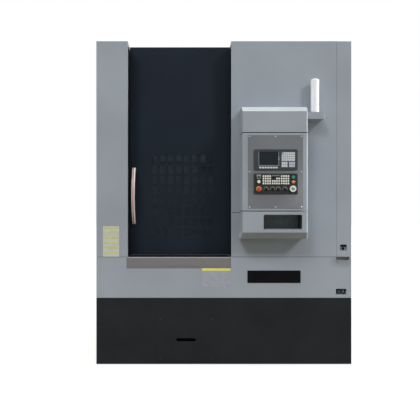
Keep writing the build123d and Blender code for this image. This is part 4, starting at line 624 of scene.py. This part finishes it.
# One screw on each point of a mesh, each driven to its own angle
def screwSetTree():
    tree, given = startTree("ScrewSet", (
        ("Head", "NodeSocketObject"), ("Facing", "NodeSocketRotation"), ("Seed", "NodeSocketInt"),
        ("Finish", "NodeSocketMaterial"),
    ))
    head = addNode(tree, "GeometryNodeObjectInfo", links={"Object": given["Head"]})
    angle = addNode(
        tree, "FunctionNodeRandomValue", settings={"data_type": "FLOAT"},
        values={3: math.pi}, links={"Seed": given["Seed"]},
    )
    turn = addNode(tree, "ShaderNodeCombineXYZ", links={"Z": angle.outputs[1]})
    driven = addNode(tree, "FunctionNodeEulerToRotation", links={0: turn.outputs[0]})
    pointed = addNode(
        tree, "FunctionNodeRotateRotation", settings={"rotation_space": "LOCAL"},
        links={0: given["Facing"], 1: driven.outputs[0]},
    )
    screws = addNode(
        tree, "GeometryNodeInstanceOnPoints",
        links={
            "Points": given["Geometry"], "Instance": head.outputs["Geometry"],
            "Rotation": pointed.outputs[0],
        },
    )
    endTree(tree, screws.outputs[0], given["Finish"])
    return tree


# Short bars round an arc, like the printed scale at a rotary switch
def scaleTree():
    tree, given = startTree("DialScale", (
        ("Count", "NodeSocketInt"), ("Radius", "NodeSocketFloat"), ("First Angle", "NodeSocketFloat"),
        ("Step Angle", "NodeSocketFloat"), ("Bar", "NodeSocketObject"), ("Centre", "NodeSocketVector"),
        ("Finish", "NodeSocketMaterial"),
    ))
    spots = addNode(
        tree, "GeometryNodeMeshLine", settings={"mode": "OFFSET"}, links={"Count": given["Count"]}
    )
    number = addNode(tree, "GeometryNodeInputIndex")
    along = addNode(
        tree, "ShaderNodeMath", settings={"operation": "MULTIPLY_ADD"},
        links={0: number.outputs[0], 1: given["Step Angle"], 2: given["First Angle"]},
    )
    spin = addNode(tree, "ShaderNodeCombineXYZ", links={"Z": along.outputs[0]})
    out = addNode(tree, "ShaderNodeCombineXYZ", links={"X": given["Radius"]})
    place = addNode(
        tree, "ShaderNodeVectorRotate", settings={"rotation_type": "Z_AXIS"},
        links={"Vector": out.outputs[0], "Angle": along.outputs[0]},
    )
    ring = addNode(
        tree, "GeometryNodeSetPosition",
        links={"Geometry": spots.outputs[0], "Position": place.outputs[0]},
    )
    bar = addNode(tree, "GeometryNodeObjectInfo", links={"Object": given["Bar"]})
    bars = addNode(
        tree, "GeometryNodeInstanceOnPoints",
        links={"Points": ring.outputs[0], "Instance": bar.outputs["Geometry"], "Rotation": spin.outputs[0]},
    )
    stood = addNode(
        tree, "GeometryNodeTransform", values={"Rotation": (math.pi / 2, 0, 0)},
        links={"Geometry": bars.outputs[0], "Translation": given["Centre"]},
    )
    endTree(tree, stood.outputs[0], given["Finish"])
    return tree


# Run a tree once and keep the result as a plain mesh
def runTree(name, tree, inputs, body="machine", points=()):
    mesh = bpy.data.meshes.new(name)
    mesh.from_pydata(list(points), [], [])
    piece = bpy.data.objects.new(name, mesh)
    scene.collection.objects.link(piece)
    modifier = piece.modifiers.new("Pattern", "NODES")
    modifier.node_group = tree
    for item in tree.interface.items_tree:
        if item.in_out == "INPUT" and item.name in inputs:
            modifier[item.identifier] = inputs[item.name]
    ready = piece.evaluated_get(bpy.context.evaluated_depsgraph_get())
    finished = bpy.data.meshes.new_from_object(ready)
    piece.modifiers.remove(modifier)
    piece.data = finished
    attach(piece, body)
    return piece


keyGrid = keyGridTree()
screwSet = screwSetTree()
dialScale = scaleTree()
facingFront = (math.pi / 2, 0, 0)
print("node trees made")

# Keys of the display unit and the operator panel, over the raised keys of the CAD units (mm)
keySets = {
    "soft_keys": {"x": (303, 469), "z": (1869, 1883), "grid": (7, 1), "gap": 6, "finish": keyPale},
    "keypad_keys": {"x": (507, 626), "z": (1937, 2015), "grid": (7, 4), "gap": 3, "finish": keyPale},
    "edit_keys": {"x": (507, 558), "z": (1880, 1928), "grid": (3, 2), "gap": 3, "finish": keyPale},
    "cursor_keys": {"x": (573, 626), "z": (1880, 1928), "grid": (3, 2), "gap": 3, "finish": keyLilac},
    "function_key": {
        "x": (506.8, 521.6), "z": (1997.5, 2015.2), "grid": (1, 1), "gap": 3, "rise": 0.4, "finish": keyBlue,
    },
    "mode_keys": {"x": (335, 408), "z": (1725, 1806), "grid": (4, 4), "gap": 7.5, "finish": keyWhite},
    "axis_keys": {"x": (500, 573.5), "z": (1725, 1806), "grid": (4, 4), "gap": 7.5, "finish": keyWhite},
    "spindle_keys": {
        "x": (418.5, 489.5), "z": (1725, 1761.75), "grid": (4, 2), "gap": 7.5, "finish": keyWhite,
    },
    "coolant_keys": {
        "x": (457.75, 489.5), "z": (1769.25, 1783.875), "grid": (2, 1), "gap": 7.5, "finish": keyWhite,
    },
}
keyCap = {"grow": 0.6, "height": 3.2, "soften": 0.9}
for name, keys in keySets.items():
    columns, rows = keys["grid"]
    pitchX = (keys["x"][1] - keys["x"][0] + keys["gap"]) / columns
    pitchZ = (keys["z"][1] - keys["z"][0] + keys["gap"]) / rows
    cap = capMaster(
        name + "_cap", pitchX - keys["gap"] + keyCap["grow"], pitchZ - keys["gap"] + keyCap["grow"],
        keyCap["height"] + keys.get("rise", 0.0), keyCap["soften"],
    )
    centre = (sum(keys["x"]) / 2 * mm, unitFace, sum(keys["z"]) / 2 * mm)
    runTree(name, keyGrid, {
        "Columns": columns, "Rows": rows, "Pitch X": pitchX * mm, "Pitch Z": pitchZ * mm,
        "Centre": centre, "Cap": cap, "Finish": keys["finish"],
    })
print("keys made:", len(keySets))

# Screws on the control plate, the two units and the access cover: radius and height of the head (mm)
screwSets = {
    "plate_screws": {
        "head": (5.5, 2.5), "finish": zincSteel, "face": plateFace, "seed": 3,
        "at": (
            (217, 2161), (453, 2161), (690, 2161), (217, 1840), (690, 1840),
            (217, 1519), (453, 1519), (690, 1519),
        ),
    },
    "unit_screws": {
        "head": (3.5, 1.5), "finish": blackScrew, "face": unitFace, "seed": 5,
        "at": (
            (268, 2033), (384, 2033), (520, 2033), (641, 2033), (268, 1865), (641, 1865),
            (268, 1814), (384, 1814), (520, 1814), (641, 1814), (268, 1648), (641, 1648),
        ),
    },
    "cover_screws": {
        "head": (5, 2.5), "finish": blackScrew, "face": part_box("access_cover")[0].y, "seed": 7,
        "at": ((-609, 442), (-609, 65), (-120, 65), (-118, 442)),
    },
}
for name, screws in screwSets.items():
    head = screwMaster(name + "_head", *screws["head"])
    spots = [(x * mm, screws["face"], z * mm) for x, z in screws["at"]]
    runTree(name, screwSet, {
        "Head": head, "Facing": facingFront, "Seed": screws["seed"], "Finish": screws["finish"],
    }, points=spots)

# Screws that hold the side and rear panels to the frame posts (mm)
panelScrews = {
    "head": (9, 4), "levels": (760, 1300, 1840, 2380, 2960), "inset": 45, "middle": 143,
    "seed": 11, "finish": zincSteel,
}
panelHead = screwMaster("panel_screw", *panelScrews["head"])
for seed, (node, face, facing) in enumerate((
    ("side_panel_left", 0, (0, -math.pi / 2, 0)), ("side_panel_right", 1, (0, math.pi / 2, 0)),
    ("rear_panel", 1, (-math.pi / 2, 0, 0)),
), panelScrews["seed"]):
    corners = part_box(node)
    inset = panelScrews["inset"] * mm
    middle = panelScrews["middle"] * mm
    if node == "rear_panel":
        columns = [(x, corners[face].y) for x in (corners[0].x + inset, 0.0, corners[1].x - inset)]
    else:
        columns = [(corners[face].x, y) for y in (corners[0].y + inset, middle, corners[1].y - inset)]
    runTree(node + "_screws", screwSet, {
        "Head": panelHead, "Facing": facing, "Seed": seed, "Finish": panelScrews["finish"],
    }, points=[(x, y, level * mm) for x, y in columns for level in panelScrews["levels"]])
print("screws made")

# Screen in its sunk seat, with a paler frame round it and two small lights beside it (mm)
screen = {
    "x": (303.5, 476.5), "z": (1900.5, 2020.5), "back": 2.0, "thick": 1.4,
    "corner": 2.0, "soften": 0.3, "finish": screenGlass,
}
addPlate("screen_glass", screen, unitFace)
frameBars = {
    "screen_frame_left": {"x": (297, 302), "z": (1894, 2021)},
    "screen_frame_right": {"x": (478, 483), "z": (1894, 2021)},
    "screen_frame_foot": {"x": (297, 483), "z": (1892, 1897)},
}
barForm = {"thick": 1.2, "corner": 1.0, "soften": 0.4, "finish": frameGrey}
for name, bar in frameBars.items():
    addPlate(name, bar | barForm, unitFace)
dots = {"size": (5.4, 7.5, 1.5), "soften": 0.6, "rows": 2, "pitch": 17, "centre": (480.5, 1959)}
dot = capMaster("status_dot", *dots["size"], dots["soften"])
runTree("status_dots", keyGrid, {
    "Columns": 1, "Rows": dots["rows"], "Pitch X": 0.0, "Pitch Z": dots["pitch"] * mm,
    "Centre": (dots["centre"][0] * mm, unitFace, dots["centre"][1] * mm), "Cap": dot, "Finish": keyWhite,
})
# Strip and small display among the keys of the operator panel (mm)
keyMarks = {
    "key_strip": {
        "x": (420, 489), "z": (1800, 1806), "thick": 0.8, "corner": 1.0, "soften": 0.3, "finish": frameGrey,
    },
    "key_display": {
        "x": (419, 453), "z": (1772, 1796), "thick": 1.0, "corner": 1.5, "soften": 0.3, "finish": screenGlass,
    },
}
for name, mark in keyMarks.items():
    addPlate(name, mark, unitFace)

# Ring under the stop button, scales and pointers of the selectors, dial of the handwheel, key plate (mm)
stopRing = {"centre": (299, 1684), "inner": 12.0, "outer": 24.0, "thick": 1.2, "shoulder": 0.6, "edge": 0.6}
ringProfile = (
    (stopRing["inner"], 0), (stopRing["outer"], 0),
    (stopRing["outer"], stopRing["thick"] * stopRing["shoulder"]),
    (stopRing["outer"] - stopRing["edge"], stopRing["thick"]), (stopRing["inner"], stopRing["thick"]),
)
addPiece("stop_ring", turnedMesh("stop_ring", stopRing["centre"], unitFace, ringProfile), yellowPlastic)
selectors = {
    "x": (366, 425, 476, 537), "z": 1683, "radius": 18.6,
    "bars": 13, "bar": (8.4, 3.6, 0.4), "soften": 0.1, "step": 18.0,
}
pointer = {"half": 1.2, "reach": (4, 13), "thick": 0.4, "corner": 0.8, "soften": 0.1, "finish": sheetWhite}
pointerUp = [selectors["z"] + reach for reach in pointer["reach"]]
bar = capMaster("scale_bar", *selectors["bar"], selectors["soften"])
firstAngle = 90 - selectors["step"] * (selectors["bars"] - 1) / 2
for number, across in enumerate(selectors["x"], 1):
    runTree(f"selector_scale_{number}", dialScale, {
        "Count": selectors["bars"], "Radius": selectors["radius"] * mm,
        "Step Angle": math.radians(selectors["step"]), "First Angle": math.radians(firstAngle), "Bar": bar,
        "Centre": (across * mm, unitFace, selectors["z"] * mm), "Finish": scaleInk,
    })
    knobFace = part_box(f"selector_knob_{number}")[0].y
    pointerAcross = (across - pointer["half"], across + pointer["half"])
    placed = pointer | {"x": pointerAcross, "z": pointerUp}
    addPlate(f"selector_pointer_{number}", placed, knobFace, f"selector_{number}")
wheel = {
    "centre": (607, 1684), "hub": 3.0, "dial": 16.5, "thick": 0.8, "rise": 18.0, "sunk": 2.0, "gap": 0.4,
}
wheelFace = unitFace - (wheel["gap"] + wheel["rise"] - wheel["sunk"]) * mm
dialProfile = (
    (wheel["hub"], 0), (wheel["dial"], 0), (wheel["dial"], wheel["thick"]), (wheel["hub"], wheel["thick"]),
)
dialMesh = turnedMesh("handwheel_dial", wheel["centre"], wheelFace, dialProfile)
addPiece("handwheel_dial", dialMesh, dialGrey, "handwheel")
keyPlate = {
    "x": (281, 317), "z": (1771, 1811), "thick": 1.0, "corner": 4.0, "foot": 17.0, "soften": 0.3,
    "finish": sheetWhite,
}
addPlate("key_plate", keyPlate, unitFace)
print("control pieces made")

# Plain sheets and the bare plate on the front, all without print (mm)
sheets = {
    "side_sheet": {"x": (-1161, -1006), "z": (1041, 1333), "thick": 0.6, "finish": sheetWhite},
    "sill_sheet": {"x": (-210, 64), "z": (750, 929), "thick": 0.6, "finish": sheetPale},
    "sill_sheet_header": {"x": (-210, 64), "z": (906, 929), "thick": 1.0, "finish": headYellow},
    "bare_plate": {"x": (226, 737), "z": (788, 908), "thick": 2.0, "finish": plateBlack},
}
sheetEdge = {"corner": 3.0, "soften": 0.3}
for name, sheet in sheets.items():
    addPlate(name, sheet | sheetEdge, frontFace)
bands = {"size": (140, 22, 1.0), "soften": 0.3, "rows": 6, "pitch": 48.5, "centre": (-1083.5, 1198)}
band = capMaster("sheet_band", *bands["size"], bands["soften"])
runTree("side_sheet_bands", keyGrid, {
    "Columns": 1, "Rows": bands["rows"], "Pitch X": 0.0, "Pitch Z": bands["pitch"] * mm,
    "Centre": (bands["centre"][0] * mm, frontFace, bands["centre"][1] * mm),
    "Cap": band, "Finish": bandYellow,
})

# Seals on the inner faces of both jambs, mat on the sill's tread, and a pale steel nosing at its edge that is
# also a painted highlight (mm)
seal = {"y": (4, 150), "z": (1041, 3066), "thick": 3.0, "corner": 4.0, "soften": 0.8}
jambs = {
    "jamb_seal_left": {"at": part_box("front_left_panel")[1].x, "side": 1},
    "jamb_seal_right": {"at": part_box("front_right_panel")[0].x, "side": -1},
}
for name, jamb in jambs.items():
    across = sorted(jamb["side"] * (value + frontFace / mm) for value in seal["y"])
    sealMesh = plateMesh(
        name, across, seal["z"], -jamb["side"] * jamb["at"], seal["thick"], seal["corner"], seal["soften"]
    )
    sealMesh.transform(Matrix.Rotation(jamb["side"] * math.pi / 2, 4, "Z"))
    addPiece(name, sealMesh, sealRubber)
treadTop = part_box("door_sill")[1].z
mat = {"x": (-916, 56), "y": (4, 152), "thick": 2.0, "corner": 6.0, "soften": 0.6}
matDepth = [value + frontFace / mm for value in mat["y"]]
matMesh = plateMesh(
    "sill_mat", mat["x"], matDepth, -treadTop, mat["thick"], mat["corner"], mat["soften"]
)
matMesh.transform(Matrix.Rotation(-math.pi / 2, 4, "X"))
addPiece("sill_mat", matMesh, sealRubber)
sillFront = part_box("door_sill")[0].y
# Pale strip along the top of the sill's front: partly steel nosing, partly a painted highlight of the lit
# edge
nosingAndHighlight = {
    "x": (-929, 61), "z": (1029, 1036), "thick": 0.8, "corner": 1.0, "soften": 0.3, "finish": linerSteel,
}
addPlate("sill_nosing", nosingAndHighlight, sillFront)

# Rose strip in the groove along the front of the bow handle (mm)
strip = {
    "x": -879, "ends": (1357, 1898), "stand": 26, "bow": 108,
    "width": 12.6, "rise": (10.5, 12.4), "steps": 48,
}
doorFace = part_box("door_panel")[0].y / mm
halfChord = (strip["ends"][1] - strip["ends"][0]) / 2
sagitta = strip["bow"] - strip["stand"]
bowRadius = (halfChord ** 2 + sagitta ** 2) / (2 * sagitta)
bowCentre = (doorFace - strip["bow"] + bowRadius, sum(strip["ends"]) / 2)
stripBack, stripFront = strip["rise"]
stripEdges = ((-1, stripBack), (1, stripBack), (1, stripFront), (-1, stripFront))
form = bmesh.new()
rings = []
for step in range(strip["steps"] + 1):
    angle = math.asin(halfChord / bowRadius) * (2 * step / strip["steps"] - 1)
    ring = []
    for side, rise in stripEdges:
        ring.append(form.verts.new((
            (strip["x"] + side * strip["width"] / 2) * mm,
            (bowCentre[0] - (bowRadius + rise) * math.cos(angle)) * mm,
            (bowCentre[1] + (bowRadius + rise) * math.sin(angle)) * mm,
        )))
    rings.append(ring)
for low, high in zip(rings, rings[1:]):
    for i in range(len(stripEdges)):
        j = (i + 1) % len(stripEdges)
        form.faces.new((low[i], low[j], high[j], high[i]))
form.faces.new(rings[0])
form.faces.new(rings[-1])
bmesh.ops.recalc_face_normals(form, faces=form.faces)
addPiece("handle_strip", meshFrom("handle_strip", form), stripRose, "door")

# Rubber seals in the seam over the lower panel (mm)
panelSeals = {"panel_seal_left": (-1221, -938), "panel_seal_right": (74, 1079)}
sealSeat = {
    "z": (1036.6, 1040.2), "back": 6.0, "thick": 5.6, "corner": 0.5, "soften": 0.3, "finish": sealRubber,
}
for name, across in panelSeals.items():
    addPlate(name, sealSeat | {"x": across}, frontFace)
# Grey seal in the seam beside the cabinet door, fixed to the panel's edge (mm)
seamSeal = {
    "wide": 1.5, "lap": 0.3, "z": (1045, 3105), "back": 4.0, "thick": 2.5,
    "corner": 0.5, "soften": 0.2, "finish": frameGrey,
}
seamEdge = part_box("front_right_panel")[1].x / mm
seamAcross = (seamEdge - seamSeal["lap"], seamEdge + seamSeal["wide"] - seamSeal["lap"])
addPlate("cabinet_seal", seamSeal | {"x": seamAcross}, frontFace)

# Dark sealant in the groove between the right jamb and the console (mm)
sealant = {
    "x": (80, 190), "z": (1461.4, 1466.6), "back": 2.2, "thick": 1.2,
    "corner": 0.8, "soften": 0.3, "finish": bezelPlastic,
}
addPlate("groove_sealant", sealant, frontFace)

# Felt lining of the tool pocket, a dark bar in the latch cup and the foam behind the finger notch (mm)
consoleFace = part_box("console_bottom")[0].y
pocket = {
    "x": (344.9, 695.6), "z": (1314.9, 1449.1), "corner": 13.6, "back": 1.0, "deep": 166.0, "wall": 1.5,
    "paintedShadeFrom": -0.3,
}
lining = addPiece("pocket_lining", trayMesh(
    "pocket_lining", pocket["x"], pocket["z"], pocket["corner"],
    consoleFace + pocket["back"] * mm, pocket["deep"], pocket["wall"],
), pocketFelt)
# the wall and corners on the right, whose faces turn left, take dark plastic as painted shade
lining.data.materials.append(bezelPlastic)
for face in lining.data.polygons:
    face.material_index = 1 if face.normal.x < pocket["paintedShadeFrom"] else 0
latchBar = {
    "x": (1118, 1179), "z": (1135, 1156), "back": 15.0, "thick": 11.0,
    "corner": 2.0, "soften": 0.6, "finish": knobPlastic,
}
addPlate("latch_bar", latchBar, frontFace, "cabinet_door")
foam = {
    "x": (1081, 1202), "z": (1000, 1037), "back": 46.0, "thick": 12.0,
    "corner": 3.0, "soften": 2.0, "finish": notchFoam,
}
addPlate("notch_foam", foam, frontFace)

# Fittings in the service port: a blue coupling, and a grey pipe that bends up to the top of the box (mm)
port = {"deep": 80, "wall": 3, "coupling": (1115, 704), "sides": 24, "pipe": 9.0}
portBack = frontFace + (port["deep"] - port["wall"]) * mm
couplingProfile = ((6, 0), (20, 0), (20, 18), (17, 21), (17, 44), (14, 48), (6, 48), (6, 40))
couplingMesh = turnedMesh("port_coupling", port["coupling"], portBack, couplingProfile, port["sides"])
addPiece("port_coupling", couplingMesh, bluePlastic)
bend = bpy.data.curves.new("port_pipe", "CURVE")
bend.dimensions = "3D"
bend.bevel_depth = port["pipe"] * mm
bend.bevel_resolution = 4
bend.use_fill_caps = True
run = bend.splines.new("NURBS")
# across, ahead of the box's back, up
route = ((1150, 0, 690), (1150, 40, 690), (1152, 52, 702), (1164, 40, 730))
run.points.add(len(route) - 1)
for point, (across, ahead, up) in zip(run.points, route):
    point.co = (across * mm, portBack - ahead * mm, up * mm, 1.0)
run.order_u = 3
run.use_endpoint_u = True
pipeCurve = bpy.data.objects.new("port_pipe_curve", bend)
scene.collection.objects.link(pipeCurve)
pipeMesh = bpy.data.meshes.new_from_object(pipeCurve.evaluated_get(bpy.context.evaluated_depsgraph_get()))
bpy.data.objects.remove(pipeCurve)
addPiece("port_pipe", pipeMesh, pipeGrey)
print("front pieces made")

for master in patterns:
    bpy.data.objects.remove(master)


# 1 for rays that show the background itself: straight from the eye, mirrored or through glass
def seenDirectly(tree):
    rays = addNode(tree, "ShaderNodeLightPath").outputs
    either = addNode(
        tree, "ShaderNodeMath", settings={"operation": "MAXIMUM"},
        links={0: rays["Is Camera Ray"], 1: rays["Is Glossy Ray"]},
    )
    return addNode(
        tree, "ShaderNodeMath", settings={"operation": "MAXIMUM"},
        links={0: either.outputs[0], 1: rays["Is Transmission Ray"]},
    ).outputs[0]


# Plain white studio: the floor and surround show white to the eye, and the floor keeps the shadow
studio = {"ambient": 0.38, "floor": "#837B69", "glow": 0.8, "reach": 30.0}
lamps = {
    "KeySun": {"from": (1.0, -1.0, 1.0), "strength": 1.28, "spread": 12},
    "FrontSun": {"from": (-0.55, -1.0, 1.1), "strength": 1.22, "spread": 16},
    "CeilingSun": {"from": (0.05, -0.06, 1.0), "strength": 2.6, "spread": 20, "tint": (1.0, 0.965, 0.82)},
    "RimSun": {"from": (1.0, -0.03, 0.1), "strength": 4.1, "spread": 6},
    "LeftSun": {"from": (-1.0, -0.03, 0.12), "strength": 0.7, "spread": 10},
}
workLight = {"place": (-0.2, -0.45, 2.75), "size": (0.7, 0.12), "watts": 13.0}
surround = bpy.data.worlds.new("StudioSurround")
scene.world = surround
surround.use_nodes = True
sky = surround.node_tree
sky.nodes.clear()
ambient = addNode(
    sky, "ShaderNodeBackground", values={"Color": (1, 1, 1, 1), "Strength": studio["ambient"]}
)
white = addNode(sky, "ShaderNodeBackground", values={"Color": (1, 1, 1, 1), "Strength": 1.0})
chosen = addNode(
    sky, "ShaderNodeMixShader",
    links={0: seenDirectly(sky), 1: ambient.outputs[0], 2: white.outputs[0]},
)
addNode(sky, "ShaderNodeOutputWorld", links={"Surface": chosen.outputs[0]})

for name, lamp in lamps.items():
    sun = bpy.data.lights.new(name, "SUN")
    sun.energy = lamp["strength"]
    sun.color = lamp.get("tint", (1.0, 1.0, 1.0))
    sun.angle = math.radians(lamp["spread"])
    sunLamp = bpy.data.objects.new(name, sun)
    sunLamp.rotation_euler = (-Vector(lamp["from"])).to_track_quat("-Z", "Y").to_euler()
    scene.collection.objects.link(sunLamp)
# A work light under the roof, so that the machine shows behind the window and the open door
inner = bpy.data.lights.new("WorkLight", "AREA")
inner.shape = "RECTANGLE"
inner.size, inner.size_y = workLight["size"]
inner.energy = workLight["watts"]
innerLamp = bpy.data.objects.new("WorkLight", inner)
innerLamp.location = workLight["place"]
scene.collection.objects.link(innerLamp)

floorMesh = bpy.data.meshes.new("studio_floor")
floorReach = studio["reach"]
floorCorners = [(x * floorReach, y * floorReach, 0) for x, y in ((-1, -1), (1, -1), (1, 1), (-1, 1))]
floorMesh.from_pydata(floorCorners, [], [(0, 1, 2, 3)])
floor = bpy.data.objects.new("studio_floor", floorMesh)
scene.collection.objects.link(floor)
paper = bpy.data.materials.new("StudioPaper")
paper.use_nodes = True
coat = paper.node_tree
coat.nodes.clear()
matt = addNode(coat, "ShaderNodeBsdfDiffuse", values={"Color": linear(studio["floor"])})
chalk = addNode(coat, "ShaderNodeBsdfDiffuse", values={"Color": (1, 1, 1, 1)})
glow = addNode(coat, "ShaderNodeEmission", values={"Color": (1, 1, 1, 1), "Strength": 1.0})
shown = addNode(
    coat, "ShaderNodeMixShader", values={0: studio["glow"]}, links={1: chalk.outputs[0], 2: glow.outputs[0]}
)
lit = addNode(
    coat, "ShaderNodeMixShader", links={0: seenDirectly(coat), 1: matt.outputs[0], 2: shown.outputs[0]}
)
addNode(coat, "ShaderNodeOutputMaterial", links={"Surface": lit.outputs[0]})
floorMesh.materials.append(paper)

# Camera straight at the front, 4.5 m away, shifted to the photograph's framing (pixels of 420)
view = {"across": -0.306, "away": 4.5, "up": 1.537, "frame": 420, "focal": 468.6, "centre": (192, 205)}
camera = bpy.data.cameras.new("FrontView")
camera.sensor_width = 36.0
camera.lens = view["focal"] / view["frame"] * camera.sensor_width
camera.shift_x = (view["frame"] / 2 - view["centre"][0]) / view["frame"]
camera.shift_y = (view["centre"][1] - view["frame"] / 2) / view["frame"]
eye = bpy.data.objects.new("FrontView", camera)
eye.location = (view["across"], frontFace - view["away"], view["up"])
eye.rotation_euler = (math.pi / 2, 0, 0)
scene.collection.objects.link(eye)
scene.camera = eye
print("studio set")
